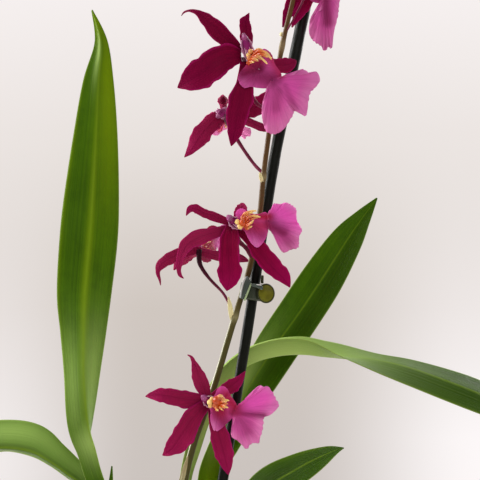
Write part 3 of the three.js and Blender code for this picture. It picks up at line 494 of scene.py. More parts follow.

# Blooms. A tepal is x, z, depth and the widths on its left and right hand looking outwards, or one width
# for both, by rows. Backs are how far each tepal shows its paler back, dusk is how dark all of them are,
# and a knot is a lump where they meet. A lip is the middle and outline of its side lobes, the waist and
# outline of its broad lobe, the slopes that give them depth, tones (a mask, two places, a radius and a
# strength) and a shade over all. A fan is a lip drawn by its middle line, with the reach of its side lobes
# and of its broad lobe. Fingers are lines with a girth, and knobs are x, z, depth, radius and paleness.
# A stalk is the girth and paleness of a flower stalk.
# A lip's wine tones are partly its own dark colour and partly painted shade in its creases and on the lower
# half of its broad lobe, and its hot tones are partly its own hot pink and partly painted light on the
# upper half.
BLOOMS = {
    "bloom_bottom": {
        "pedicel": [(18.5, 243, -10.5), (17, 249, -14), (19.5, 253, -18), (22, 255, -22)],
        "tepals": [
            [
                (20.5, 255.3, -22.5, 2.2), (12, 255.2, -24, 4.2, 4), (5, 256.3, -25.5, 4),
                (-1.5, 257.4, -25.5, 3.4, 3.6), (-6.3, 257.3, -24, 2, 1.9), (-9.7, 256.8, -22, 0.25),
            ],
            [
                (21, 257, -22.5, 2), (18.6, 263, -23, 3.9, 3.4), (16.4, 269, -24, 3.2, 2.6),
                (14.6, 273.5, -26, 1.4, 1.3), (13.2, 276.4, -28, 0.7), (11.3, 277.6, -29.5, 0.2),
            ],
            [
                (21, 253.6, -23, 2.4), (14.5, 246.5, -26, 4.2, 4.9), (9.5, 239.5, -27.5, 6.2, 4.5),
                (5, 233, -27, 5.6, 4), (1.5, 229, -25, 2.2, 2.4), (-1.2, 227.4, -23, 0.3),
            ],
            [
                (24, 256.5, -20.5, 2), (29, 259.5, -18.5, 2.8, 3), (33.5, 262.5, -17, 3.1, 3.8),
                (37, 265.5, -16, 1.7, 2.4), (40.2, 269.4, -15, 0.2),
            ],
            [
                (23.3, 253, -23, 2), (25.5, 244, -26, 3.6, 3.4), (27.5, 236, -27.5, 4.7, 4.4),
                (29.5, 228, -27, 4.6, 4.3), (31, 222, -25.5, 2.5, 2.6), (31.7, 217.6, -24, 0.25),
            ],
        ],
        "middle": (27, 252.5, -29.5),
        "side_lobes": [
            (36, 252), (33, 257), (31, 260.7), (28.5, 262), (26.2, 260.5), (25.2, 258), (23.5, 255.5),
            (22, 252.5), (22.7, 249), (22.7, 245), (24, 240.5), (25.7, 239.3), (28.5, 241), (31.7, 244),
            (34.5, 247),
        ],
        "side_slope": (0.12, 0.1, 0.004), "waist": (34.5, 249.7, -32.5),
        "broad_lobe": [
            (36.5, 252.5), (39, 253.7), (41.5, 255.5), (43.5, 258), (45.2, 260.7), (47.5, 262.3),
            (49.5, 261.5), (51.5, 261.7), (54, 258.5), (55.5, 255.5), (57, 252.5), (55.5, 250),
            (52.5, 247.5), (49.5, 246.2), (49.2, 243), (48.5, 239), (47.5, 236), (47, 233.5), (45, 233.5),
            (43, 233), (40.7, 230.5), (38.5, 232.5), (36.5, 234.5), (34, 236), (33, 238), (33.7, 241.5),
            (35, 245.5),
        ],
        "broad_slope": (0.1, 0, 0.4, -12),
        "column": [(25, 253.5, -24), (21.5, 254.8, -27), (18.2, 257, -29)],
        "fingers": [
            ([(26.5, 256, -31), (28.5, 256.4, -33.5), (29.7, 255.2, -35), (32, 254.7, -35.5)], 0.75),
            ([(26.2, 253.8, -31), (28.1, 254, -34), (29.9, 254.2, -35.5), (31, 254.3, -35.5)], 0.7),
            ([(26.2, 252.5, -31), (28.6, 252.6, -34), (30.1, 251.7, -35.5), (31.6, 251.1, -35.5)], 0.75),
            ([(25.9, 251.9, -31), (27.5, 251.4, -33.5), (28.6, 250, -34.5)], 0.65),
            ([(24.9, 252, -30.5), (25.5, 250.9, -33), (26.7, 249.5, -34)], 0.6),
            ([(25.7, 255.5, -30.5), (27, 257, -33.5), (29, 256.6, -34.5)], 0.8),
        ],
        "knobs": [
            (22.4, 253.8, -31, 1.4, 1), (23.4, 255.6, -31, 1, 0.9), (22.6, 252, -30.6, 1, 0.8),
            (26.3, 254.6, -32.1, 2.5, 0), (27.7, 256.2, -32.8, 1.7, 0.12), (25.4, 252.4, -31.5, 1.7, 0.1),
        ],
        # The wine strokes along the broad lobe's crease and just below it are painted shade.
        "tones": [
            ("hot", 29, 259.5, 29.7, 260.5, 3.5, 0.75), ("deep", 30.5, 257.5, 35, 251.3, 4.2, 0.95),
            ("deep", 26, 253, 28, 250, 4.8, 0.9), ("wine", 27, 248.5, 30, 243.5, 4, 0.85),
            ("wine", 33, 248.5, 49.2, 247.2, 1.9, 0.75), ("wine", 38, 246, 41, 240, 4.5, 0.5),
            ("hot", 38, 251, 50, 256.5, 4.6, 0.85), ("pale", 24.2, 243, 24.8, 240, 1.8, 0.8),
        ],
        "backs": [0.25, 0.4, 0.25, 0.2, 0.2],
    },
    "bloom_middle": {
        "stalk": (1.2, 0.9),
        "pedicel": [(43.5, 326, -12), (40.5, 331, -15), (36.5, 335, -19), (34.5, 341, -22)],
        "tepals": [
            [
                (33, 343.5, -22, 1.6), (24.3, 346.8, -22.5, 2.3, 2.2), (19.5, 348.5, -22.5, 2.1, 2),
                (15.3, 350.6, -23, 2.1, 2.2), (12.6, 350.2, -24.5, 1.4, 1.8), (10.6, 347.2, -25.5, 0.2),
            ],
            [
                (33, 341, -23, 1.8), (24, 338.6, -27, 3, 2.5), (17, 336.3, -29, 3.9, 3.8),
                (11.5, 333, -29.5, 3, 3.5), (8.2, 327, -29, 1.7, 2.3), (6.9, 321, -28, 1.2),
                (7.5, 317.6, -27, 0.9), (9.3, 315.8, -26, 0.2),
            ],
            [
                (33.5, 341.5, -24, 3), (32.4, 334.5, -29, 4.7, 4.8), (32.1, 326, -30.5, 4.9),
                (32.3, 318.5, -30, 5.8), (31.6, 313.2, -28.5, 3.4, 3.7), (30.9, 309.6, -27, 0.3),
            ],
            [(36, 344, -20, 2), (37.5, 348.5, -17, 3), (38.5, 351.5, -14, 2.4), (38.5, 353.5, -11, 0.6)],
            [
                (36, 341, -22, 2), (43, 335.5, -26.5, 3.2, 3.4), (48.5, 328, -28.5, 4.6, 4.4),
                (54, 321, -28.5, 4.8, 3.9), (59, 316, -27, 4, 2.4), (62.5, 311.4, -24.5, 0.3),
            ],
        ],
        "middle": (42, 344, -30.5),
        "side_lobes": [
            (51, 348.5), (46.5, 348), (42.5, 348.5), (40, 350.2), (37.5, 350.7), (35.5, 349), (35.7, 346),
            (37, 344), (37.5, 342), (40, 339), (41.5, 336), (43.5, 333), (46, 331.2), (48.5, 333),
            (50.7, 336.5), (51.7, 341),
        ],
        "side_slope": (0.12, 0.1, 0.004), "waist": (51.5, 344.5, -34),
        "broad_lobe": [
            (51.5, 348.2), (53.5, 351), (54.5, 353.2), (57.5, 353), (60.7, 353.7), (63.2, 352.5),
            (65.5, 350.5), (65.7, 347.5), (66, 344.7), (67.5, 342), (68.5, 339.7), (67.2, 337), (67, 334.5),
            (66.5, 331.2), (63, 330.2), (59.2, 328.7), (56.7, 332), (55, 336), (53, 339.2), (51.7, 341),
        ],
        "broad_slope": (0.1, 0.1, 0.55, -22),
        "column": [(38.5, 341.5, -25), (34.5, 344, -28), (31, 347.3, -30)],
        "fingers": [
            ([(39.3, 342.2, -31.5), (40, 347, -34.5), (42.3, 349.2, -36), (45.9, 349.6, -36.5)], 0.75),
            ([(39.6, 342.2, -31.5), (41.2, 345.6, -35), (44.1, 347.1, -36.5), (47.8, 346.4, -36.5)], 0.75),
            ([(39.7, 341.5, -31.5), (41.2, 342.6, -34.5), (43.1, 343.6, -36), (44.4, 345.2, -36.5)], 0.65),
            ([(38.7, 343.5, -31.5), (38.9, 346.9, -34), (40.8, 348.6, -35.5), (44.1, 348.6, -36.5)], 0.8),
            ([(39.9, 341.2, -31.5), (41.6, 341.2, -34), (43.6, 341.9, -35.5)], 0.6),
        ],
        "knobs": [
            (39.3, 343.8, -32.5, 2.1, 0), (39.4, 346, -33, 1.7, 0.1), (36.2, 344.1, -31.5, 1.3, 1),
            (37.6, 341.9, -31, 1.5, 0.95),
        ],
        # The wine strokes from the waist down the broad lobe's lower half are painted shade, and the hot
        # stroke over its upper half is partly painted light.
        "tones": [
            ("hot", 37.3, 348.6, 37.7, 348, 2.6, 0.7), ("deep", 42, 346.5, 52, 346.6, 2.4, 1),
            ("deep", 40, 344, 41, 342, 4, 0.95), ("deep", 44.1, 342.5, 48, 342, 4, 0.75),
            ("wine", 45.5, 340, 48.5, 337.5, 3.6, 0.7), ("wine", 51.8, 342.6, 59.4, 338.5, 3.4, 0.9),
            ("wine", 59.4, 338, 62, 334, 4.2, 0.6), ("hot", 56, 350.5, 66, 344, 4.6, 0.85),
            ("pale", 44.7, 334, 45.7, 333, 1.8, 0.6),
        ],
        "backs": [0.25, 0.4, 0, 0.3, 0],
    },
    "bloom_middle_back": {
        "stalk": (0.78, 0), "face": (-0.2, 1, 0),
        "pedicel": [
            (35, 296, -11), (32.5, 302, -10), (29, 308.5, -8.5), (22, 316, -6.5), (17.5, 323, -5),
            (17, 330, -3),
        ],
        "tepals": [
            [
                (17, 330, -3, 1.8), (9, 329, -6, 2.6, 3), (2.5, 326, -8, 2.8, 3.2),
                (-2, 322.8, -8.5, 2.2, 2.6), (-3.6, 319, -8.5, 1.1, 1.2), (-2.6, 315, -8, 0.6),
                (-2.2, 312.3, -8, 0.15),
            ],
            [(17, 330, -3, 2), (12, 328, 4, 3.2), (7.5, 324, 10, 3), (4.4, 320, 14, 0.3)],
            [(17, 330, -3, 2), (17.5, 334.2, 7, 3), (17, 336.5, 13, 2.4), (16.5, 338, 17, 0.3)],
            [
                (17, 330, -3, 1.5), (21.5, 328, -1, 2.2), (27, 327, 0, 2.4), (35, 326.3, 1, 2.6),
                (39.5, 325.3, 2, 1.5), (42.3, 324.2, 3, 0.2),
            ],
            [(17, 330, -3, 2), (20, 326.8, 7, 2.6), (22, 325.4, 13, 2), (23, 324.6, 17, 0.3)],
        ],
        "fan": {
            "line": [(18.5, 331, 2), (23, 334, 9), (25.5, 334, 15), (29, 334, 26)], "side": 8, "lobe": 12,
        },
        "column": [(17, 331, 0), (16, 333, 5), (14.5, 336, 8)],
        "fingers": [
            ([(18, 332, 2), (20, 333.4, 5), (23, 334.2, 9)], 0.7),
            ([(18, 331, 2), (20.5, 331.6, 5), (23.5, 331.6, 9)], 0.7),
            ([(18, 330.4, 2), (20.5, 329.8, 5), (23, 329.2, 8)], 0.6),
        ],
        "backs": [0.35, 0.45, 0, 0.6, 0.35],
    },
    "bloom_upper": {
        "dusk": 0.55,
        "pedicel": [(55, 403, -13.5), (49.5, 401, -14), (44, 406, -18), (41, 415.5, -21), (40, 426.5, -22)],
        "tepals": [
            [
                (38, 428.5, -22.5, 2.4), (31, 435.5, -24, 4.3, 3.6), (25.5, 440.5, -25.5, 4.4, 4),
                (20.6, 445, -26, 2.9, 3.3), (16.5, 448.5, -25.5, 1.5, 1.6), (12.6, 449.7, -24, 0.7, 0.6),
                (9.6, 448.9, -22.5, 0.45, 0.4), (8.2, 447.1, -21.5, 0.15),
            ],
            [
                (38, 426.3, -23, 2.6, 3.6), (32.5, 426, -26, 4.8, 6.8), (26, 423.7, -28.5, 7, 7.3),
                (19.5, 419.5, -29, 7.8, 7), (13.5, 415.5, -27.5, 6.3, 5.8), (9, 412.7, -25.5, 2.6, 2.7),
                (6.3, 411.2, -24, 0.3),
            ],
            [
                (41, 428, -20, 2), (41, 435, -19, 3.3, 2.9), (40.5, 440.5, -18.5, 3, 2.7),
                (40.3, 444, -18.5, 3, 2.2), (41.2, 446.5, -18, 1.4, 1.1), (42.1, 448.6, -17.5, 0.15),
            ],
            [
                (40.2, 424, -23.5, 3, 2.5), (39.5, 414, -27, 4.6, 3.6), (38, 406, -28.5, 6, 5.6),
                (36.2, 398, -28.5, 5.2, 5.3), (35, 390, -27.5, 3.9, 3.8), (33.9, 385, -26.5, 2, 1.9),
                (33.1, 382, -25.5, 0.2),
            ],
            [
                (42.5, 426, -20, 2), (49, 424.3, -19.5, 2.6, 3.4), (55.5, 422.6, -19, 2.8, 4),
                (60.5, 422.6, -18.5, 3.5, 4), (63.7, 423.6, -18, 2.4), (65.6, 424.8, -18, 0.4),
            ],
        ],
        "shade": 0.22, "middle": (47, 420.5, -31.5),
        "side_lobes": [
            (58.3, 417.5), (55, 423), (53.5, 427.5), (51.2, 430), (48.7, 430.5), (45, 428.2), (41.7, 425),
            (40.5, 422.5), (37.9, 419.3), (36.6, 416), (37.5, 413), (39.8, 411), (43, 411.6), (46.2, 411),
            (51.2, 410.9), (56, 413),
        ],
        "side_slope": (0.12, 0.12, 0.004), "waist": (53.5, 415, -34.5),
        "broad_lobe": [
            (58.5, 416.7), (63.4, 417), (66.5, 419.3), (69.1, 420.4), (72.3, 418.5), (75.8, 419.1),
            (77.5, 414.8), (74.9, 411), (72.6, 408.5), (71.7, 404), (70.6, 397.3), (67.9, 398),
            (64.8, 399.5), (64, 397.6), (61.8, 393.8), (59.5, 390.6), (56.7, 388.5), (53.5, 388),
            (50.6, 389.6), (49, 393.8), (48.4, 399), (49, 404), (50.3, 408.5), (51.3, 411.5),
        ],
        "broad_slope": (0.05, -0.1, 0.35, -52),
        "column": [(42.5, 424, -24), (41, 431, -27), (39.2, 438.5, -27.5)],
        "fingers": [
            ([(42.3, 425.6, -31), (44.6, 426.8, -35), (47.4, 426.6, -37), (51.2, 423, -37.5)], 0.75),
            ([(43, 426.4, -31), (46.4, 429.2, -34), (50.2, 428.9, -36), (53.4, 425.2, -36.5)], 0.85),
            ([(44, 426.6, -31.5), (47.8, 428, -35.5), (51, 427.2, -37), (53.4, 426, -37)], 0.75),
            ([(41.2, 423.9, -31), (43, 425.4, -34.5), (45.1, 425.6, -36.5), (46.7, 424.8, -37)], 0.6),
            ([(40.9, 423.4, -31), (42.7, 424.2, -34), (44.6, 423.8, -36)], 0.55),
            ([(42.8, 427, -30), (45.6, 430, -32.5), (48.8, 430.3, -34)], 0.75),
        ],
        "knobs": [
            (42.9, 429.3, -31.5, 1.25, 0.45), (42.3, 426, -32, 1.5, 0.25), (41.6, 427.4, -31, 1.1, 0.9),
        ],
        # The wine stroke in the crease between the broad lobe's two halves is painted shade.
        "tones": [
            ("deep", 52.5, 427.5, 58, 418, 2.6, 0.75), ("deep", 41.5, 423, 47, 424.5, 3, 0.7),
            ("wine", 39, 418.5, 47, 420, 4.8, 1), ("wine", 42, 418, 53, 415.5, 6.4, 0.85),
            ("wine", 56.5, 410, 55.5, 401, 3.8, 0.55), ("wine", 60, 412, 65.2, 400.7, 2.4, 0.5),
            ("hot", 58, 416.8, 64, 410.5, 3.4, 0.45), ("pale", 38.6, 417, 40.6, 412.6, 1.5, 0.35),
        ],
        "backs": [0, 0, 0, 0, 0.5],
    },
    "bloom_upper_back": {
        "knot": (28.9, 404.9, -0.5), "face": (-0.1, 1, 0),
        "pedicel": [(49.5, 368, -12.5), (44.5, 373, -9), (37.5, 383, -5), (33, 391, -3), (29.5, 398, -1)],
        "tepals": [
            [
                (29.5, 398, -1, 1.2), (29.2, 402.4, 1, 1.8), (29, 404.9, 3, 2.8), (29, 407, 5, 1.3),
                (29, 407.6, 6, 0.3),
            ],
            [
                (29, 398.6, -2, 1.6, 3), (26.5, 396.8, -3, 3, 4.4), (24, 394.6, -4, 4, 4.9),
                (20.6, 390.6, -5, 4.4, 4.2), (17.3, 386.6, -5, 4.6, 5), (14.9, 382.6, -5, 3.4, 3.2),
                (12.6, 379.4, -4, 2.2, 1.9), (9.7, 376.4, -3, 0.2),
            ],
            [
                (29.5, 398, -1, 2), (38, 398.9, 1, 3), (43.5, 400.6, 2, 4.4, 4.2), (48, 403, 3, 4.4, 4.6),
                (52, 407, 4, 3), (55, 411, 5, 0.3),
            ],
            [
                (29.5, 398, -1, 1.5), (36, 396.4, 0, 1.8), (43, 393.6, 1, 2), (49, 391, 2, 1.9),
                (52, 389.6, 3, 0.3),
            ],
            [(29.5, 398, -1, 2), (25.5, 397, 5, 2.6), (22.5, 396.4, 10, 2), (20.5, 396, 14, 0.3)],
        ],
        # The fan's pale is painted light shining through it from behind.
        "fan": {
            "line": [(30.5, 397.5, 4), (31.5, 395.6, 10), (31, 394.4, 16), (30, 390.6, 27)], "side": 8,
            "lobe": 16.5, "pale": 0.9,
        },
        "column": [(30.5, 400, -2.5), (28.4, 398.6, -4.5), (26.6, 397, -6)],
        "fingers": [
            ([(30, 395.5, 4.5), (30.5, 393, 8), (30.5, 391, 11)], 0.7),
            ([(31, 395.5, 4.5), (32, 393, 8), (32.5, 391, 11)], 0.7),
            ([(32, 395.7, 4.5), (33.5, 393.5, 8), (34.5, 392, 11)], 0.6),
        ],
        "backs": [0.9, 0.3, 0.2, 0.6, 0],
    },
    "bloom_top": {
        "stalk": (0.5, 0.45),
        "pedicel": [(60, 438, -15.5), (64.5, 446, -21), (69, 455, -21.5), (71.5, 464, -16)],
        "tepals": [
            [(71.5, 464, -16, 2), (66, 474, -13, 3.4), (60, 481, -9, 3), (55, 487, -6, 0.3)],
            [(71.5, 464, -16, 2), (72.5, 475, -16, 4), (75, 485, -15, 3.8), (77, 492.5, -14, 0.3)],
            [
                (70, 462, -15, 2), (66, 455.5, -13.4, 3, 4.2), (62, 449, -13.1, 2.6, 3),
                (58.8, 441.4, -12.9, 0.3),
            ],
            [(71.5, 464, -16, 2), (80, 470, -14, 4), (87, 474, -13, 3.4), (93.5, 476, -12, 0.3)],
            [
                (71.5, 462, -15.5, 2), (70.5, 455, -13.4, 3.6, 3), (67, 448.5, -13.1, 2.8),
                (63.4, 441.3, -12.9, 0.3),
            ],
        ],
        "shade": 0.24, "middle": (76, 463, -22),
        "side_lobes": [
            (81, 463), (80, 468), (76, 470.5), (72.5, 468), (71, 463.5), (71, 458.5), (72.5, 455),
            (76, 453.5), (79, 454), (82, 458),
        ],
        "side_slope": (0.2, 0.3, 0.012), "waist": (80.5, 459, -24),
        "broad_lobe": [
            (82, 463), (85, 462.5), (87.5, 458), (87, 451.8), (86.4, 446.7), (84.5, 439), (83.5, 431.2),
            (81.5, 431.6), (80.9, 430.2), (79.2, 429.8), (78.2, 431.8), (74.9, 434), (72.6, 436.7),
            (72, 440.4), (72.9, 446.2), (75.5, 448.6), (78.6, 450.4), (78.5, 453),
        ],
        "broad_slope": (0.1, -0.1, 0.3, -80),
        "column": [(72.5, 463.5, -18), (70, 466.5, -22), (67.5, 469, -24)],
        "fingers": [
            ([(72.8, 462, -22), (74.5, 465, -25), (77, 466, -26)], 0.75),
            ([(73, 461, -22), (75.5, 463, -26), (78, 463.5, -27)], 0.75),
            ([(73, 460, -22), (75.5, 461, -26), (78, 460.6, -27)], 0.7),
            ([(73, 459, -22), (74.8, 458.6, -25), (77, 457.8, -26)], 0.65),
        ],
        "knobs": [(73.4, 461.5, -24, 1.8, 0)],
        "tones": [
            ("deep", 74, 464, 80, 461, 4, 0.9), ("wine", 80, 458, 81.2, 444, 3.6, 0.85),
            ("wine", 74.5, 456, 80, 453.5, 3.5, 0.6),
        ],
    },
    "bloom_crown": {
        "pedicel": [(72.5, 495, -14), (71, 499, -18), (67.5, 503, -22), (65.5, 505, -22)],
        "tepals": [
            [(66, 505, -22, 2.2), (75, 511, -25, 4.2, 4), (84, 517.5, -24, 3.4), (90, 520, -21, 0.3)],
            [(65.5, 506, -22, 2), (62.5, 515, -22, 3.8), (59.5, 524, -22, 3), (57, 531, -20, 0.3)],
            [(66, 504, -22.5, 2.4), (75, 498, -26, 5.2), (84, 490.5, -26, 4.6), (91, 484, -22, 0.3)],
            [(65, 505.5, -21, 2), (56, 511, -19, 4), (51, 514.5, -17, 3), (47.5, 516.5, -16, 0.3)],
            [(65, 504, -22.5, 2.2), (62, 495, -27, 4.6), (58, 486, -28, 4), (54, 478, -26, 0.3)],
        ],
        "fan": {
            "line": [(63, 505, -27), (56, 504, -31), (51, 500, -31), (38, 492, -27)], "side": 10.5,
            "lobe": 19,
        },
        "column": [(64, 505.5, -24), (66.5, 508, -27), (69, 511, -29)],
        "fingers": [
            ([(62.5, 507, -28), (60, 508, -31), (57, 507.5, -33)], 0.7),
            ([(62, 505.5, -28.5), (59.5, 505.7, -32), (56, 505, -34)], 0.75),
            ([(62, 504, -28.5), (59.5, 503.5, -32), (56.5, 502.5, -34)], 0.7),
            ([(62.5, 502.5, -28), (60, 501.5, -31), (57.5, 500.5, -33)], 0.6),
        ],
        "knobs": [(61.6, 505, -29, 1.8, 0)],
    },
}

# How pale a flower stalk turns towards its bloom, where a bloom's own stalk says nothing else.
STALK_LIGHT = 0.6

# Buds: stalk, tip and radius.
BUDS = {
    "bud_lower": ([(73.5, 512, -12), (77, 517, -10.5), (82, 520, -9)], (92, 524, -6), 4),
    "bud_middle": ([(74, 524, -11.5), (71, 529, -9), (68, 533, -8)], (60, 539, -5), 3.4),
    "bud_tip": ([(74, 530, -11), (75, 534, -10.5), (76, 537, -10)], (79, 547, -8), 2.7),
}

# Pseudobulbs: x and y of the foot, height, radius, flatness and lean. The outline is radius and height.
BULBS = {
    "pseudobulb_left": (-16, 0.5, 87, 17, 0.55, -0.02),
    "pseudobulb_right": (12.5, 12, 85, 16, 0.55, 0.02),
    "pseudobulb_back": (-7, 30, 58, 14, 0.6, -0.12),
}
BULB_FOOT = 92
BULB_SHAPE = [
    (0.001, 0), (0.55, 0), (0.86, 0.1), (1, 0.27), (0.99, 0.45), (0.8, 0.68), (0.56, 0.87), (0.4, 0.97),
    (0.3, 1), (0.001, 1),
]

# The clip's collar: its middle, radius, bulge, half height, wall, half opening and lean.
COLLAR_AT = (43.4, -9.6, 309.5)
COLLAR_RADIUS, COLLAR_BULGE, COLLAR_REACH, COLLAR_WALL = 5.4, 0.25, 4, 0.8
COLLAR_OPENING, CLIP_LEAN = 0.35, 0.13
PLATE_EDGE = 0.3
BUTTON_AT = (50.5, 308.35, -15.5)
BUTTON_RADII = (4.3, 4.85)
BUTTON_SIDES = 40
BUTTON_SHAPE = [
    (0, 0), (0.88, 0), (0.98, 0.3), (1, 1.2), (0.95, 1.9),
    (0.86, 2.15), (0.77, 2), (0.62, 2.15), (0.34, 2.35), (0, 2.4),
]

# The clip's plates: corners on the front elevation, depth, thickness and finish. The second and fifth are
# thin white sheets of painted highlight, down the left edge of the first plate and along the top bar.
CLIP_PLATES = [
    (
        [(41, 317.2), (43, 314.2), (41.7, 310.3), (39, 305.2), (37.1, 306), (37.8, 310.8), (38.9, 314.9)],
        -18, 2.4, {"wine": 0.8},
    ),
    (
        [
            (40.2, 316.9), (40.8, 316.5), (39.3, 313), (38.4, 309), (37.9, 306), (37.2, 306.1),
            (37.9, 310.8), (38.9, 314.9),
        ],
        -18.3, 0.8, {"pale": 0.7, "wine": 1},
    ),
    ([(42.8, 313.6), (43.6, 313.2), (40.1, 304.4), (39.2, 304.9)], -18.4, 1, {"hot": 0.9, "wine": 0.9}),
    (
        [(43, 313.3), (48.2, 313.1), (49.15, 310.65), (48.35, 309.85), (46.45, 311), (43.4, 311.8)], -20.2,
        1.6, {"wine": 0.7},
    ),
    ([(45.6, 312.9), (48, 312.8), (48.4, 312.2), (45.8, 312.4)], -20.5, 0.8, {"pale": 0.9, "wine": 1}),
    ([(47.8, 313.3), (49.3, 313.2), (49.4, 317.3), (48, 317.4)], -14, 4, {"deep": 1, "wine": 1}),
    ([(48.4, 310.5), (51.8, 309.8), (51.8, 307), (48.4, 307.4)], -15.3, 5.5, {"wine": 0.5}),
]

# The bark: how far it stays off the wall, how dark its bed is, the highest that a chip may reach, and how
# its chips are strewn, in metres.
BARK_GAP, BED_TONE, CHIP_TOP = 0.3, 0.15, 107.5
CHIPS = {"Density": 90000.0, "Spacing": 0.0048, "Size": (0.017, 0.010, 0.006), "Roughness": 0.007}
# Colours of the backdrop by height: its two ends first.
BACKDROP = {0: "cbc3be", 1: "f5efee", 0.36: "d0c7c0", 0.5: "d9d1cb", 0.7: "e8e1dd"}


def length(label, text, default):
    return FloatProperty(name=label, description=text, default=default * MM, unit="LENGTH", precision=4)


def colour(label, text, code):
    return FloatVectorProperty(
        name=label, description=text, default=linear(code), size=3, min=0, max=1, subtype="COLOR"
    )


def power(label, text, default):
    return FloatProperty(name=label, description=text, default=default, min=0)


class PotSettings(bpy.types.PropertyGroup):
    """Sizes and colours of the pot and its bark."""

    height: length("Height", "Height of the pot", 112)
    foot: length("Foot radius", "Radius of the pot at its foot", 44)
    mouth: length("Mouth radius", "Radius of the pot below its rim", 58)
    wall: length("Wall", "Thickness of the pot's wall", 1.8)
    rim: length("Rim height", "Height of the rim", 9)
    proud: length("Rim proud", "How far the rim stands out", 2.4)
    drain: length("Drain radius", "Radius of a drain hole", 4.5)
    drain_ring: length("Drain ring", "Radius of the ring of drain holes", 29)
    drains: IntProperty(name="Drains", description="How many drain holes", default=6, min=3, max=12)
    bark_level: length("Bark level", "Height of the bark", 99)
    seed: IntProperty(name="Seed", description="Which way the chips fall", default=7)
    pot_colour: colour("Pot", "Colour of the pot", "3a3f3d")
    bark_colour: colour("Bark", "Middle colour of the bark", "6b452b")
    bark_dark: colour("Dark bark", "Darkest colour of the bark", "2a1a10")


class LeafSettings(bpy.types.PropertyGroup):
    """Sizes and colours of the leaves and pseudobulbs."""

    keel: length("Keel", "Thickness of a leaf at its keel", 1.5)
    margin: length("Margin", "Thickness of a leaf at its margin", 0.3)
    deep: colour("Deep green", "Darkest green of a leaf", "224800")
    mid: colour("Green", "Middle green of a leaf", "517e00")
    rib: colour("Midrib", "Colour of the midrib", "7c9c1c")
    # The pale green paints sheen on the leaves; on a pseudobulb it colours its lighter ribs.
    pale: colour("Pale green", "Colour of a leaf's waxy patches", "b6d676")
    edge: colour("Margin colour", "Colour of a leaf's margin", "9db35c")
    bulb: colour("Pseudobulb", "Colour of a pseudobulb", "6f8f2e")
    sheath: colour("Sheath", "Colour of a dry sheath", "b39b6a")


class BloomSettings(bpy.types.PropertyGroup):
    """Sizes and colours of the blooms."""

    tepal: length("Tepal", "Thickness of a tepal", 0.7)
    lip: length("Lip", "Thickness of the lip", 0.6)
    pedicel: length("Pedicel radius", "Radius of a flower stalk", 1)
    crimson: colour("Crimson", "Main colour of the tepals", "a60042")
    crimson_deep: colour("Deep crimson", "Darkest colour of the tepals", "68002a")
    rose: colour("Rose", "Colour of the tepals' pale backs", "ae1c5a")
    lip_pink: colour("Lip pink", "Main colour of the lip", "ee62ba")
    lip_light: colour("Lip light", "Colour of the lip's edge", "f898d4")
    lip_deep: colour("Lip throat", "Colour of the lip's throat", "ac1640")
    lip_wine: colour("Lip wine", "Darkest colour of the lip", "7c0c46")
    orange: colour("Callus", "Colour of the callus", "d04e00")
    cream: colour("Callus tips", "Colour of the callus's tips", "ffdc86")
    mauve: colour("Column", "Colour of the column", "8e1c68")
    white: colour("Column wings", "Colour of the column's wings", "e0b0cc")
    stalk: colour("Stalk", "Colour of a flower stalk", "5e1c33")


class StemSettings(bpy.types.PropertyGroup):
    """Sizes and colours of the spike, the stake and the clip."""

    stem_foot: length("Stem foot radius", "Radius of the flower stem at its foot", 1.9)
    stem_tip: length("Stem tip radius", "Radius of the flower stem at its tip", 1)
    stake_foot: length("Stake foot radius", "Radius of the stake at its foot", 2.45)
    stake_tip: length("Stake tip radius", "Radius of the stake at its top", 3.1)
    stem: colour("Stem", "Colour of the flower stem", "4a3f14")
    stem_dark: colour("Dark stem", "Darkest colour of the flower stem", "33210a")
    bract: colour("Bract", "Colour of the bracts", "f0e8ae")
    stake: colour("Stake", "Colour of the stake", "0c0e0a")
    clear: colour("Clip", "Colour of the clear clip", "8c9d92")
    button: colour("Button", "Colour of the clip's button", "5c5c06")


class StageSettings(bpy.types.PropertyGroup):
    """The floor, lights and camera."""

    floor_radius: length("Floor radius", "Radius of the floor", 1150)
    floor: colour("Floor", "Colour of the floor", "d8d2cc")
    key: power("Key light", "Power of the main light", 24)
    fill: power("Fill light", "Power of the front light", 7)
    edge_light: power("Edge light", "Power of the light behind on the left", 7)
    rim_light: power("Rim light", "Power of the light behind", 12)


SETTINGS = {
    "orchid_pot": PotSettings,
    "orchid_leaf": LeafSettings,
    "orchid_bloom": BloomSettings,
    "orchid_stem": StemSettings,
    "orchid_stage": StageSettings,
}


# Depths of relief, in metres.
VEIN_RELIEF, FINE_RELIEF, GRAIN_RELIEF = 0.00025, 0.0002, 0.0001


def leaf_material(settings):
    f = Finish("leaf blade", 0.42, Specular_IOR_Level=0.06)
    masks = f.margins(rib=0.08, margin=0.95)
    veins, fine = f.veins(30, 1.2), f.veins(120, 1.8)
    cloud = f.mottle(38, 0.38, 0.62)
    f.colour(
        settings.deep,
        (veins, 0.6, settings.mid),
        (cloud, 0.3, settings.mid),
        (f.mottle(160, 0.5, 0.7), 0.35, settings.deep),
        # Painted light: yellow-green where light shines through the leaf and along its edges, dark green
        # for painted shade, pale green for painted sheen.
        ("hot", 0.8, "7c9c00"),
        ("deep", 0.92, "1e3a08"),
        ("pale", 0.9, settings.pale),
        (fine, 0.16, settings.rib),
        (masks["Rib"], 0.5, settings.rib),
        (masks["Margin"], 0.55, settings.edge),
    )
    f.rough(cloud, 0.34, 0.5)
    f.bump(math_node(f.tree, "ADD", f.times(fine, 0.4), veins), VEIN_RELIEF, 0.6)
    return f.material


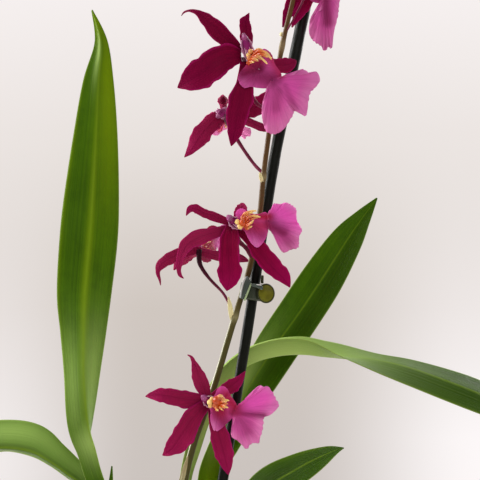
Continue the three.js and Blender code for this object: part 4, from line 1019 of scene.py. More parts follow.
def bulb_material(settings):
    f = Finish("pseudobulb skin", 0.42)
    ribs, cloud = f.veins(26, 0.8), f.mottle(90, 0.4, 0.65)
    f.colour(
        settings.bulb,
        (ribs, 0.7, settings.pale),
        (cloud, 0.4, settings.deep),
        ("pale", 1, settings.sheath),
    )
    f.rough(cloud, 0.38, 0.6)
    f.bump(ribs, 0.0006, 0.7)
    return f.material


def sheath_material(settings):
    f = Finish("dry sheath", 0.75, Sheen_Weight=0.2)
    ribs = f.veins(60, 1.2, 0.6)
    f.colour(settings.sheath, (ribs, 0.8, "d9c79c"), (f.mottle(120), 0.5, "7c6238"))
    f.bump(ribs, 0.0004, 0.8)
    return f.material


def velvet(name, specular, sheen, tint):
    """A finish with the soft sheen of petals."""
    tint = (*linear(tint), 1)
    return Finish(
        name, 0.6, Specular_IOR_Level=specular, Sheen_Weight=sheen, Sheen_Roughness=0.5, Sheen_Tint=tint
    )


def tepal_material(settings):
    f = velvet("tepal velvet", 0.06, 0.04, "e0207a")
    masks = f.margins(rib=0.12, margin=0.8)
    veins, cloud = f.veins(24, 1.4), f.mottle(140, 0.35, 0.65)
    f.colour(
        settings.crimson_deep,
        (veins, 0.8, settings.crimson),
        (ramp(f.tree, masks["Along"], 0.25, 1), 0.55, "a6005a"),
        (cloud, 0.25, settings.crimson_deep),
        ("pale", 0.85, settings.rose),
        (f.times(f.mask("pale"), f.veins(40, 2, 0.6)), 0.35, "b85a78"),
        ("deep", 1, settings.crimson_deep),
        (masks["Rib"], 0.3, "5c0028"),
        (masks["Margin"], 0.6, "b4106a"),
    )
    f.rough(cloud, 0.5, 0.68)
    f.bump(veins, VEIN_RELIEF, 0.7)
    return f.material


def lip_material(settings):
    f = velvet("lip velvet", 0.15, 0.06, "f0a0d0")
    veins, cloud = f.veins(110, 1.1, 0.6), f.mottle(160, 0.35, 0.65)
    f.colour(
        settings.lip_pink,
        (veins, 0.5, "bc4494"),
        (f.times(f.mask("pale"), carry(f.tree, veins, 0, 1, 0.85, 0.5)), 1, settings.lip_light),
        # Hot and wine are partly the lip's own colours and partly painted light on the upper half of the
        # broad lobe and painted shade on its lower half and in its creases.
        ("hot", 1, "ff5cc8"),
        ("wine", 1, settings.lip_wine),
        ("deep", 1, settings.lip_deep),
        (cloud, 0.08, settings.lip_wine),
    )
    f.bump(math_node(f.tree, "ADD", veins, f.times(cloud, 0.5)), VEIN_RELIEF, 0.8)
    return f.material


def callus_material(settings):
    f = Finish("callus", 0.35)
    cloud = f.mottle(300)
    f.colour(settings.orange, (cloud, 0.6, "a8300c"), ("pale", 1, settings.cream))
    f.bump(cloud, FINE_RELIEF, 0.5)
    return f.material


def column_material(settings):
    f = Finish("column", 0.45, Specular_IOR_Level=0.2)
    cloud = f.mottle(260, 0.42, 0.58)
    f.colour(settings.mauve, (cloud, 0.5, "5e0e3e"), ("pale", 1, settings.white), ("deep", 1, "6c1f5a"))
    f.bump(cloud, FINE_RELIEF, 0.5)
    return f.material


def stalk_material(settings):
    f = Finish("flower stalk", 0.5, Specular_IOR_Level=0.08)
    cloud = f.mottle(200)
    f.colour(settings.stalk, (cloud, 0.5, "8c3554"), ("pale", 0.6, "a58a98"), ("deep", 1, "2c0a18"))
    f.bump(cloud, GRAIN_RELIEF, 0.4)
    return f.material


def stem_material(settings):
    f = Finish("flower stem", 0.38, Specular_IOR_Level=0.28)
    streaks, cloud = f.veins(9, 26), f.mottle(120)
    foot = f.rest(ramp(f.tree, f.margins()["Along"], 0.3, 0.6))
    # A painted highlight: a cream streak down the left flank of the lower stem, where light from the left
    # catches it.
    around = add(f.tree, "ShaderNodeSeparateXYZ", {"Vector": f.strip}).outputs[0]
    painted_highlight = f.times(ramp(f.tree, around, 0.24, 0.28), f.rest(ramp(f.tree, around, 0.34, 0.4)))
    f.colour(
        settings.stem,
        (streaks, 0.7, settings.stem_dark),
        (cloud, 0.3, "5c5618"),
        (foot, 0.6, "4c501c"),
        (f.rest(foot), 0.4, "6a3c14"),
        (f.times(painted_highlight, foot), 0.85, "dedcbc"),
        ("hot", 0.7, "62301e"),
        ("pale", 1, settings.bract),
    )
    f.rough(cloud, 0.35, 0.55)
    f.bump(streaks, FINE_RELIEF, 0.4)
    return f.material


def stake_material(settings):
    f = Finish("stake lacquer", 0.36, Specular_IOR_Level=0.12)
    streaks, cloud = f.veins(14, 60), f.mottle(80, 0.45, 0.6)
    f.colour(settings.stake, (streaks, 0.35, "22261c"), (cloud, 0.25, "050506"))
    f.rough(cloud, 0.3, 0.5)
    f.bump(streaks, VEIN_RELIEF, 0.5)
    return f.material


def clip_material(settings):
    f = Finish("clear clip", 0.08, IOR=1.45)
    cloud, solid = f.mottle(200), f.mask("wine")
    f.colour(
        settings.clear,
        (cloud, 0.4, "6c7c71"),
        (solid, 1, "34423a"),
        # Pale is a painted highlight: white where light glints off the clear plastic.
        ("pale", 1, "eef3ee"),
        ("hot", 1, "b7cf9c"),
        ("deep", 1, "34381a"),
    )
    f.tree.links.new(carry(f.tree, solid, 0, 1, 0.92, 0.12), f.shader.inputs["Transmission Weight"])
    f.rough(cloud, 0.05, 0.15)
    return f.material


def button_material(settings):
    f = Finish("clip button", 0.35, Specular_IOR_Level=0.2)
    cloud = f.mottle(400)
    f.colour(settings.button, (cloud, 0.5, "7c7c16"), ("deep", 1, "2e300a"))
    f.bump(cloud, GRAIN_RELIEF, 0.4)
    return f.material


def pot_material(settings):
    f = Finish("pot plastic", 0.55)
    grain, dust = f.mottle(900, 0.3, 0.7), f.mottle(30, 0.5, 0.75)
    f.colour(settings.pot_colour, (grain, 0.15, "565c58"), (dust, 0.25, "8a8578"))
    f.rough(dust, 0.45, 0.75)
    f.bump(grain, 0.00008, 0.5)
    return f.material


def bark_material(settings):
    f = Finish("orchid bark", 0.9)
    cloud = f.mottle(180, 0.3, 0.7)
    f.colour(
        settings.bark_dark,
        ("chip", 1, settings.bark_colour),
        (cloud, 0.5, "8a6140"),
        (f.mottle(55), 0.5, settings.bark_dark),
    )
    f.bump(cloud, 0.0008, 0.9)
    return f.material


def patches(spots, u, s):
    """Strength of soft patches at each u along a leaf and s across it."""
    total = np.zeros((len(u), len(s)))
    for middle, reach, across, width, strength in spots:
        here = peak((u - middle) / reach)[:, None] * peak((s - across) / width)
        total = np.maximum(total, strength * here)
    return total


def leaf_shape(name, stations, settings):
    """A strap folded along its keel, with swaying margins."""
    u, s = strip_steps(LEAF_GRID)
    values = smooth(stations, u)
    path = seen(values[:, :3])
    face, side = axes_along(path, TOWARDS_EYE, values[:, 5])[1:]
    half = np.maximum(values[:, 3], 0.3)[:, None]
    fold = np.radians(values[:, 4])[:, None]
    keel_round = 0.13
    bend = np.sqrt(s**2 + keel_round**2) - keel_round - 0.07 * s**4
    sway = 0.035 * half * s**2 * np.sin(17 * u[:, None] + len(name) + 0.9 * np.sign(s))
    grid = beside(path, side, half * s * np.cos(fold), face, half * bend * np.sin(fold) + sway)
    keel, margin = settings.keel / MM, settings.margin / MM
    thick = (margin + (keel - margin) * (1 - np.abs(s)) ** 1.6) * np.clip(half / 5, 0.35, 1)
    # Masks of painted sheen, painted shade and painted light shining through the leaf.
    marks = {label: patches(spots, u, s) for label, spots in LEAF_LIGHT_AND_SHADE.get(name, {}).items()}
    shape = Shape()
    shape.sheet(grid, thick, **marks)
    return shape


def leaned(x, y, z, spec):
    """Points given in a bulb's own x, y and z, leaned and set down on its foot."""
    c, s = math.cos(spec[5]), math.sin(spec[5])
    return np.stack([x * c + z * s, y, z * c - x * s], -1) + (*spec[:2], BULB_FOOT)


def bulb_shape(spec, seed):
    """A flattened bulb with shallow ribs that deepen towards its neck."""
    height, radius, flat = spec[2:5]
    rows, sides = BULB_GRID
    outline = smooth(BULB_SHAPE, steps(rows))
    girth, level = np.maximum(outline[:, :1], 0.01), outline[:, 1:]
    angle = round_steps(sides)
    ribs = 0.035 * np.sin(9 * angle + seed) * ease(0.1, 0.6, level) + 0.02 * np.sin(4 * angle + 2 * seed)
    out = radius * girth * (1 + ribs)
    shape = Shape()
    points = leaned(out * np.cos(angle), out * np.sin(angle) * flat, height * level + 0 * angle, spec)
    shape.rings(points, pale=0.8 * (1 - ease(0.02, 0.2, level[:, 0])))
    return shape


def sheath_shape(spec, side, top, seed):
    """A dry papery sheath that wraps one side of a bulb's lower part and ends in a point."""
    height, radius, flat = spec[2:5]
    u, s = strip_steps(SHEATH_GRID)
    u = u[:, None]
    spread = 1.25 * (1 - u**2.2) * s + (0 if side > 0 else math.pi)
    girths, levels = zip(*BULB_SHAPE[1:9])
    out = radius * np.interp(top * u, levels, girths) + 0.7 + 1.5 * u**3
    ripple = 0.25 * np.sin(9 * spread + seed) * u
    x, y = (out + ripple) * np.cos(spread), (out * flat + 0.4 + ripple) * np.sin(spread)
    shape = Shape()
    shape.sheet(leaned(x, y, height * top * u + 0.5 + 0 * s, spec), 0.35)
    return shape


class ORCHID_OT_leaves(bpy.types.Operator):
    """Build the strap leaves"""

    bl_idname = "orchid.leaves"
    bl_label = "Leaves"

    def execute(self, context):
        settings = context.scene.orchid_leaf
        material = leaf_material(settings)
        for name, stations in LEAVES.items():
            place(name + "_blade", leaf_shape(name, stations, settings), material, "leaf", name)
        return {"FINISHED"}


class ORCHID_OT_bulbs(bpy.types.Operator):
    """Build the pseudobulbs and their dry sheaths"""

    bl_idname = "orchid.bulbs"
    bl_label = "Pseudobulbs"

    def execute(self, context):
        settings = context.scene.orchid_leaf
        skin, paper = bulb_material(settings), sheath_material(settings)
        for k, (name, spec) in enumerate(BULBS.items()):
            place(name + "_skin", bulb_shape(spec, k), skin, "bulb", name)
            for j, (side, top) in enumerate(((1, 0.62), (-1, 0.45))):
                place(f"{name}_sheath_{j + 1}", sheath_shape(spec, side, top, k + j), paper, "bulb")
        return {"FINISHED"}


class ORCHID_OT_spike(bpy.types.Operator):
    """Build the flower stem with its bracts"""

    bl_idname = "orchid.spike"
    bl_label = "Flower stem"

    def execute(self, context):
        settings = context.scene.orchid_stem
        shape = Shape()
        knots = peak((steps(STEM_RINGS)[:, None] - NODES_AT) / NODE_LENGTH)
        radius = steps(STEM_RINGS, settings.stem_foot / MM, settings.stem_tip / MM)
        radius += NODE_SWELL * knots.sum(1)
        shape.tube(along(SPIKE_LINE, STEM_RINGS), radius, 14, pale=0.2 * knots.max(1))
        for k, rows_of in enumerate(BRACTS):
            grid = tepal_grid(rows_of, TOWARDS_EYE, k, BRACT_GRID)
            shape.sheet(grid, BRACT_THICK, pale=0.95 if k else 0.4)
        shape.ball(NODE_KNOB, 1.1, pale=0.9)
        place("spike_stem_skin", shape, stem_material(settings), "stem", "spike_stem")
        return {"FINISHED"}


class ORCHID_OT_stake(bpy.types.Operator):
    """Build the stake"""

    bl_idname = "orchid.stake"
    bl_label = "Stake"

    def execute(self, context):
        settings = context.scene.orchid_stem
        radius = steps(STAKE_RINGS, settings.stake_foot / MM, settings.stake_tip / MM)
        radius *= 1 + 0.02 * np.sin(steps(STAKE_RINGS, 0, 60))
        radius[-2:] *= (0.93, 0.7)
        shape = Shape()
        shape.tube(along(CANE_LINE, STAKE_RINGS), radius, 24)
        place("stake_rod", shape, stake_material(settings), "cane", "stake")
        return {"FINISHED"}


class ORCHID_OT_clip(bpy.types.Operator):
    """Build the clip that holds the flower stem to the stake"""

    bl_idname = "orchid.clip"
    bl_label = "Clip"

    def execute(self, context):
        settings = context.scene.orchid_stem
        shape = Shape()
        self.collar(shape)
        for corners, depth, thickness, masks in CLIP_PLATES:
            self.plate(shape, corners, depth, thickness, masks)
        place("clip_collar_body", shape, clip_material(settings), "clip", "clip_collar")
        wide, tall = BUTTON_RADII
        outline = smooth(BUTTON_SHAPE, steps(BUTTON_SIDES))
        girth, depth = np.maximum(outline[:, :1], 0.003), outline[:, 1:]
        angle = round_steps(BUTTON_SIDES)
        points = [wide * girth * np.cos(angle), 0 * angle - depth, tall * girth * np.sin(angle)]
        disc = Shape()
        disc.rings(np.stack(points, -1) + seen(BUTTON_AT), deep=ease(0.78, 0.9, outline[:, 0]))
        place("clip_button_disc", disc, button_material(settings), "button", "clip_button")
        return {"FINISHED"}

    def collar(self, shape):
        """An open oval band that springs round the stem and the stake."""
        angle = steps(60, COLLAR_OPENING, TURN - COLLAR_OPENING) + math.pi / 2
        heights = steps(9, -COLLAR_REACH, COLLAR_REACH)[:, None]
        radius = COLLAR_RADIUS + COLLAR_BULGE * (1 - (heights / COLLAR_REACH) ** 2)
        x, y, z = radius * np.cos(angle), radius * np.sin(angle), heights + 0 * angle
        c, s = math.cos(CLIP_LEAN), math.sin(CLIP_LEAN)
        band = np.stack([x * c + z * s, y, z * c - x * s], -1) + COLLAR_AT
        shape.sheet(band, COLLAR_WALL, wine=0.9, deep=0.6)

    def plate(self, shape, corners, depth, thickness, masks):
        """A flat plate with rounded edges, drawn by its corners."""
        work = bmesh.new()
        front = seen([(x, z, depth) for x, z in corners])
        face = work.faces.new([work.verts.new(point) for point in front])
        made = bmesh.ops.extrude_face_region(work, geom=[face])
        moved = [item for item in made["geom"] if isinstance(item, bmesh.types.BMVert)]
        bmesh.ops.translate(work, vec=(0, thickness, 0), verts=moved)
        bmesh.ops.bevel(work, geom=work.edges, offset=PLATE_EDGE, segments=3, affect="EDGES", profile=0.5)
        work.verts.index_update()
        points = np.array([v.co[:] for v in work.verts])
        faces = [[v.index for v in face.verts] for face in work.faces]
        shape.add(points, faces, np.zeros((len(points), 2)), **masks)
        work.free()


def tepal_grid(rows_of, face, seed, size=TEPAL_GRID):
    """A tepal with a soft keel, waved margins and a pointed tip."""
    u, s = strip_steps(size)
    values = smooth([row if len(row) == 5 else (*row, row[3]) for row in rows_of], u)
    path = seen(values[:, :3])
    front, side = axes_along(path, face)[1:]
    reach = np.maximum(np.where(s < 0, values[:, 3:4], values[:, 4:]), 0.12)
    u = u[:, None]
    body = np.sin(math.pi * u)
    ripple = 0.05 * np.sin(31 * u + 2.1 * seed) + 0.03 * np.sin(53 * u + seed)
    flare = 1 + ripple * body * np.abs(s) ** 3
    wave = 0.16 * reach * body * s**2 * np.sin(13 * u + seed + np.sign(s) * 1.1)
    groove = -0.25 * peak(s / 0.12) * body
    return beside(path, side, reach * s * flare, front, 0.2 * reach * s**2 + wave + groove)


def outline_patch(middle, outline, slope, ruffle, seed):
    """A lobe that fills a drawn outline round a middle, with depth from slopes, and a ruffled edge."""
    loop = smooth(outline, steps(LOBE_TURNS), closed=True)
    v, turn = steps(LOBE_RINGS, 0.02)[:, None], steps(LOBE_TURNS, 0, TURN)
    ragged = 0.5 * ruffle * np.sin(37 * turn + seed) * (0.5 + 0.5 * np.sin(5 * turn + 2 * seed))
    loop = loop + unit(loop - np.array(middle[:2])) * ragged[:, None]
    dx, dz = (loop[:, 0] - middle[0]) * v, (loop[:, 1] - middle[1]) * v
    frill = ruffle * v**3 * (np.sin(11 * turn + seed) + 0.6 * np.sin(19 * turn + 2 * seed))
    hollow = 0.35 * np.sin(math.pi * v)
    x, z = middle[0] + dx, middle[1] + dz
    return seen(np.stack([x, z, slope(dx, dz) + middle[2] + frill + hollow], -1)), v, x, z


def side_slope(values):
    """Depth of the side lobes: slope along, fold about the middle line, and curl."""
    tilt, fold, curl = values
    return lambda dx, dz: -tilt * dx + fold * np.abs(dz) + curl * (dx**2 + dz**2)


def broad_slope(values):
    """Depth of the broad lobe: tilt along and across, roof about its middle line, and that line's angle."""
    tilt, lean, roof, angle = values
    c, s = math.cos(math.radians(angle)), math.sin(math.radians(angle))

    def depth(dx, dz):
        ahead, off = dx * c + dz * s, dz * c - dx * s
        soft = np.sqrt(off**2 + 4) - 2
        return tilt * ahead + lean * off + roof * soft + 0.006 * (ahead**2 + off**2)

    return depth


def claw_and_fan(fan, face, seed):
    """A lip drawn by its middle line: a claw with side lobes, a waist, and a notched and ruffled fan."""
    waist_at, waist_u, spread, count = 0.4, 2 / 3, math.radians(80), 240
    u, s = strip_steps(FAN_GRID)
    line = along(fan["line"], count)
    tangent, front, side = axes_along(line, face)
    span = np.linalg.norm(line[-1] - line[int(waist_u * (count - 1))])
    claw = smooth([0.24, 0.62, 1, 0.82, 0.26], np.clip(u / waist_at, 0, 1))[:, 0]
    grid = np.zeros((*FAN_GRID, 3))
    notch = 1 - 0.34 * peak(s / 0.2)
    edge = 1 + 0.03 * np.sin(23 * s + seed) + 0.02 * np.sin(41 * s)
    for i, at in enumerate(u):
        if at <= waist_at:
            q, beyond = at / waist_at * waist_u + 0 * s, 0 * s
            across = s * fan["side"] * claw[i]
            lift = -0.34 * np.abs(across) * np.abs(s)
        else:
            v = (at - waist_at) / (1 - waist_at)
            reach = fan["lobe"] * notch * (1 - 0.3 * s**4) * edge * v
            ahead = reach * np.cos(s * spread)
            across = reach * np.sin(s * spread) + s * 0.26 * fan["side"] * (1 - v)
            q = waist_u + (1 - waist_u) * np.clip(ahead / span, 0, 1)
            beyond = ahead - np.minimum(ahead, span)
            lift = 1.3 * v * v * np.sin(9 * s + 2.2 + seed) + 0.5 * v**3 * np.sin(27 * s + seed)
            lift -= 0.3 * np.abs(across)
        for field, size in ((line, 1), (tangent, beyond), (side, across), (front, lift)):
            for axis in range(3):
                grid[i, :, axis] += np.interp(q * (count - 1), np.arange(count), field[:, axis]) * size
    return grid


def callus_shape(bloom):
    """A knobbly cushion with blunt fingers that point along the lip."""
    shape = Shape()
    for k, (points, girth) in enumerate(bloom["fingers"]):
        w, line = steps(FINGER_RINGS), along(points, FINGER_RINGS)
        knobs = 1 + 0.16 * np.sin(15 * w + 2 * k)
        width = girth * knobs * np.sqrt(np.clip(1.02 - w**6, 0.02, 1)) * (0.75 + 0.25 * np.sin(math.pi * w))
        pale = ease(0.35, 1, w) * 0.95
        shape.tube(line, width * 0.9, 10, pale=pale, deep=0.6 * (1 - ease(0, 0.5, w)))
        aside = np.array([0.3, -0.25, -0.85]) + np.array([-0.9, 0.1, 0.2]) * np.sin(3 * k + 2 * w)[:, None]
        shape.tube((line + aside)[:20], width[-20:] * 0.6, 8, pale=pale[:20] * 0.9)
    for x, z, depth, radius, pale in bloom.get("knobs", []):
        shape.ball((x, z, depth), radius, pale=pale)
    return shape


def column_shape(places, face):
    """The column: a short waxy post with a cap at its tip and a pale ragged wing on each side."""
    shape = Shape()
    u, line = steps(COLUMN_RINGS), along(places, COLUMN_RINGS)
    tangent, front, side = axes_along(line, face)
    girth = smooth([1.7, 1.8, 1.7, 1.8, 1.9, 1.5, 0.5], u)[:, 0]
    pale = 0.5 * (1 - ease(0.15, 0.4, u)) + 0.25 * ease(0.85, 1, u)
    shape.tube(line, girth, 18, pale=pale, wine=0.8 * ease(0.45, 0.6, u) * (1 - ease(0.8, 0.92, u)))
    for offset in (-1.5, -0.5, 0.5, 1.5):
        rows = slice(1, 20)
        height = (girth[rows] * 0.85 - 0.12 * offset**2)[:, None]
        crest = line[rows] + side[rows] * (offset * 0.75) + front[rows] * height
        shape.tube(crest, 0.42 * np.sin(math.pi * steps(19, 0.08, 0.92)), 8, pale=0.95)
    cap = line[-8] + tangent[-8] * (steps(11, -0.5, 0.5) * 3.6)[:, None] + front[-8] * 1.1
    swell = np.maximum(1.75 * np.sin(math.pi * steps(11, 0.03, 0.97)), 0.1)
    shape.tube(cap, swell, 14, pale=0.15, flat=0.8)
    w, out = steps(19)[:, None], steps(9)
    rows = slice(8, 27)
    reach = 0.3 + 1.2 * np.sin(math.pi * w) ** 0.7 * (1 + 0.2 * np.sin(19 * w))
    across = girth[rows][:, None] * 0.75 + reach * out
    lift = 0.5 + 1.1 * out**2 + 0.2 * np.sin(9 * w)
    for hand in (-1, 1):
        wing = beside(line[rows], side[rows], hand * across, front[rows], lift)
        shape.sheet(wing, 0.35, pale=0.1 + 0.65 * out**2)
    return shape


def marked(tones, x, z):
    """Strengths of a lip's coloured markings at drawn places: each is a soft stroke between two points."""
    out = {label: np.zeros_like(x) for label in MASKS}
    for label, x1, z1, x2, z2, radius, strength in tones:
        run = max((x2 - x1) ** 2 + (z2 - z1) ** 2, 1e-6)
        t = np.clip(((x - x1) * (x2 - x1) + (z - z1) * (z2 - z1)) / run, 0, 1)
        away = (x - x1 - t * (x2 - x1)) ** 2 + (z - z1 - t * (z2 - z1)) ** 2
        out[label] = np.maximum(out[label], strength * np.exp(-away / radius**2))
    return out


class ORCHID_OT_blooms(bpy.types.Operator):
    """Build the blooms: tepals, lips, columns, calluses and stalks"""

    bl_idname = "orchid.blooms"
    bl_label = "Blooms"

    def execute(self, context):
        settings = context.scene.orchid_bloom
        petal, lip_skin = tepal_material(settings), lip_material(settings)
        waxy, post, stalk = callus_material(settings), column_material(settings), stalk_material(settings)
        for k, (name, bloom) in enumerate(BLOOMS.items()):
            face = bloom.get("face", TOWARDS_EYE)
            tepals = self.tepals(bloom, face, k, settings.tepal / MM)
            place(name + "_tepal_blades", tepals, petal, "tepal", name + "_tepals")
            place(name + "_stalk", self.pedicel(bloom, settings.pedicel / MM), stalk, "tepal")
            thick = settings.lip / MM
            lip = self.fan_lip(bloom, face, k, thick) if "fan" in bloom else self.lobed_lip(bloom, k, thick)
            place(name + "_lip_blade", lip, lip_skin, "lip", name + "_lip")
            column = column_shape(bloom["column"], face)
            place(name + "_column_post", column, post, "column", name + "_column")
            place(name + "_callus_crest", callus_shape(bloom), waxy, "callus", name + "_callus")
        return {"FINISHED"}

    def tepals(self, bloom, face, k, thick):
        """All tepals of a bloom, thinner towards their margins and tips."""
        shape = Shape()
        u, s = strip_steps(TEPAL_GRID)
        body = thick * (0.35 + 0.65 * (1 - s**2)) * (1.15 - 0.6 * u[:, None])
        deep = np.maximum(0.35 * (1 - ease(0, 0.25, u)), bloom.get("dusk", 0))[:, None]
        for j, rows_of in enumerate(bloom["tepals"]):
            grid = tepal_grid(rows_of, face, 1.7 * j + 0.9 * k)
            shape.sheet(grid, body, pale=bloom["backs"][j] if "backs" in bloom else 0, deep=deep)
        if "knot" in bloom:
            shape.ball(bloom["knot"], 2, deep=1)
        return shape

    def pedicel(self, bloom, radius):
        """The stalk, which swells into the ovary behind the bloom."""
        shape = Shape()
        u = steps(STALK_RINGS)
        girth = smooth([0.9, 0.85, 0.95, 1.35, 1.9], u)[:, 0] * radius * (1 + 0.04 * np.sin(40 * u))
        slim, light = bloom.get("stalk", (1, STALK_LIGHT))
        dark = max(0, 1 - light / STALK_LIGHT)
        line = along(bloom["pedicel"], STALK_RINGS)
        shape.tube(line, girth * slim, 12, pale=light * ease(0.6, 1, u), deep=dark * ease(0.3, 0.9, u))
        return shape

    def fan_lip(self, bloom, face, k, thick):
        """A lip seen from behind or from its side, pale at its rim."""
        shape = Shape()
        u, s = strip_steps(FAN_GRID)
        u = u[:, None]
        # A fan's pale, where given, is painted light shining through it from behind.
        pale = np.maximum(ease(0.6, 1, u), bloom["fan"].get("pale", 0))
        body = thick * (0.4 + 0.6 * (1 - s**2))
        shape.sheet(claw_and_fan(bloom["fan"], face, k), body, pale=pale, deep=1 - ease(0.15, 0.5, u))
        return shape

    def lobed_lip(self, bloom, k, thick):
        """A lip drawn lobe by lobe, whose broad lobe is pale at its rim and more ruffled."""
        shape = Shape()
        for middle, outline, slope, frill, edge in (
            (bloom["middle"], bloom["side_lobes"], side_slope(bloom["side_slope"]), 0.18, 0),
            (bloom["waist"], bloom["broad_lobe"], broad_slope(bloom["broad_slope"]), 0.55, 0.9),
        ):
            grid, v, x, z = outline_patch(middle, outline, slope, frill, 2 + k)
            masks = marked(bloom["tones"], x, z)
            masks["pale"] = np.maximum(masks["pale"], edge * ease(0.55, 1, v))
            masks["wine"] = np.maximum(masks["wine"], bloom.get("shade", 0))
            shape.sheet(grid, thick * (1 - 0.6 * v**4), **masks)
        return shape


class ORCHID_OT_buds(bpy.types.Operator):
    """Build the buds at the tip of the flower stem"""

    bl_idname = "orchid.buds"
    bl_label = "Buds"

    def execute(self, context):
        material = stalk_material(context.scene.orchid_bloom)
        for name, (stalk, tip, radius) in BUDS.items():
            shape = Shape()
            shape.tube(along(stalk, 24), 0.8, 10)
            last = np.array(stalk[-1], float)
            body = along([last, (last + tip) / 2, tip], BUD_RINGS)
            u, s = strip_steps((BUD_RINGS, 13))
            girth = radius * smooth([0.4, 0.92, 1, 0.72, 0.15], u)[:, 0]
            shape.tube(body, girth, 24, pale=0.5 * ease(0.7, 1, u))
            spread = s * (1.15 * np.sin(math.pi * np.clip(u, 0.02, 0.98)) ** 0.5)[:, None]
            reach = (girth * 1.03 + 0.12)[:, None]
            for turn in (20, 140, 260):
                front, side = axes_along(body, TOWARDS_EYE, turn)[1:]
                scale = beside(body, side, reach * np.sin(spread), front, reach * np.cos(spread))
                shape.sheet(scale, 0.25, pale=0.25)
            place(name + "_skin", shape, material, "bud", name)
        return {"FINISHED"}


def geometry_tree(name, **inputs):
    """An empty geometry tree that takes and gives a geometry, with a material for what it gives."""
    kinds = {"Geometry": "Geometry", **inputs, "Material": "Material"}
    return new_tree("GeometryNodeTree", name, {"Geometry": "Geometry"}, **kinds)


def give(tree, geometry, material):
    """Ends a geometry tree."""
    solid = add(tree, "GeometryNodeRealizeInstances", {0: geometry})
    paint = add(tree, "GeometryNodeSetMaterial", {"Geometry": solid, "Material": material})
    add(tree, "NodeGroupOutput", {0: paint})
    return tree


def drain_tree():
    """Cuts a ring of round holes through what it is given."""
    tree, given = geometry_tree("Drain holes", Radius="Float", Ring="Float", Count="Int")
    ring = add(tree, "GeometryNodeMeshCircle", {"Vertices": given["Count"], "Radius": given["Ring"]})
    round_drill = {"Vertices": 32, "Radius": given["Radius"], "Depth": 0.02}
    drill = add(tree, "GeometryNodeMeshCylinder", round_drill)
    copies = add(tree, "GeometryNodeInstanceOnPoints", {"Points": ring, "Instance": drill})
    real = add(tree, "GeometryNodeRealizeInstances", {0: copies})
    parts = {"Mesh 1": given["Geometry"], "Mesh 2": real}
    cut = add(tree, "GeometryNodeMeshBoolean", parts, operation="DIFFERENCE")
    return give(tree, cut, given["Material"])


def random_vector(tree, low, high, seed):
    """A vector between low and high that differs from copy to copy."""
    return add(tree, "FunctionNodeRandomValue", {0: low, 1: high, "Seed": seed}, data_type="FLOAT_VECTOR")


def chip_tree():
    """Strews rough chips over a surface: how many, how large, which way they fall, and their material."""
    kinds = {"Density": "Float", "Spacing": "Float", "Size": "Vector", "Roughness": "Float", "Seed": "Int"}
    tree, given = geometry_tree("Bark chips", **kinds)
    where = {"Mesh": "Geometry", "Distance Min": "Spacing", "Density Max": "Density", "Seed": "Seed"}
    where = {label: given[source] for label, source in where.items()}
    spots = add(tree, "GeometryNodeDistributePointsOnFaces", where, distribute_method="POISSON")
    block = {"Size": given["Size"], "Vertices X": 4, "Vertices Y": 3, "Vertices Z": 3}
    copies = {
        "Points": spots,
        "Instance": add(tree, "GeometryNodeMeshCube", block),
        "Rotation": random_vector(tree, (-0.5, -0.5, 0), (0.5, 0.5, 6.283), given["Seed"]),
        "Scale": random_vector(tree, (0.5, 0.6, 0.6), (1.25, 1.3, 1.3), given["Seed"]),
    }
    copies = add(tree, "GeometryNodeInstanceOnPoints", copies)
    shade = add(tree, "FunctionNodeRandomValue", data_type="FLOAT").outputs[1]
    mark = {"Geometry": copies, "Name": "chip", "Value": shade}
    mark = add(tree, "GeometryNodeStoreNamedAttribute", mark, data_type="FLOAT", domain="INSTANCE")
    real = add(tree, "GeometryNodeRealizeInstances", {0: mark})
    here = add(tree, "GeometryNodeInputPosition")
    rough = add(tree, "ShaderNodeTexNoise", {"Vector": here, "Scale": 110, "Detail": 2}).outputs["Color"]
    centred = add(tree, "ShaderNodeVectorMath", {0: rough, 1: (0.5, 0.5, 0.5)}, operation="SUBTRACT")
    shift = add(tree, "ShaderNodeVectorMath", {0: centred, "Scale": given["Roughness"]}, operation="SCALE")
    rugged = add(tree, "GeometryNodeSetPosition", {"Geometry": real, "Offset": shift})
    return give(tree, rugged, given["Material"])


def grown(name, mesh, tree, values):
    """A plain mesh made by a geometry tree from a starting mesh, with values by the tree's labels."""
    work = bpy.data.objects.new(name + "_work", mesh)
    bpy.context.scene.collection.objects.link(work)
    modifier = work.modifiers.new("make", "NODES")
    modifier.node_group = tree
    for socket in tree.interface.items_tree:
        if socket.name in values:
            modifier[socket.identifier] = values[socket.name]
    work.update_tag()
    view = bpy.context.evaluated_depsgraph_get()
    made = bpy.data.meshes.new_from_object(work.evaluated_get(view), depsgraph=view)
    made.name = name
    work.modifiers.clear()
    bpy.data.objects.remove(work)
    return made


def lathe(profile, sides=128):
    """A closed mesh turned about +Z from an outline of radius and height in millimetres."""
    work = bmesh.new()
    rings = []
    for radius, height in profile:
        angles = [TURN * k / sides for k in range(sides if radius else 1)]
        corners = [(radius * MM * math.cos(a), radius * MM * math.sin(a), height * MM) for a in angles]
        rings.append([work.verts.new(corner) for corner in corners])
    for one, two in zip(rings, rings[1:]):
        for k in range(sides):
            n = (k + 1) % sides
            if len(one) == 1:
                work.faces.new([one[0], two[n], two[k]])
            elif len(two) == 1:
                work.faces.new([one[k], one[n], two[0]])
            else:
                work.faces.new([one[k], one[n], two[n], two[k]])
    bmesh.ops.recalc_face_normals(work, faces=work.faces)
    mesh = bpy.data.meshes.new("turned")
    work.to_mesh(mesh)
    work.free()
    return mesh


def shade_by_angle(mesh, degrees=32):
    """Smooth shading, kept sharp where faces meet at more than the given angle."""
    work = bmesh.new()
    work.from_mesh(mesh)
    for face in work.faces:
        face.smooth = True
    for edge in work.edges:
        edge.smooth = len(edge.link_faces) == 2 and edge.calc_face_angle(0) < math.radians(degrees)
    work.to_mesh(mesh)
    work.free()


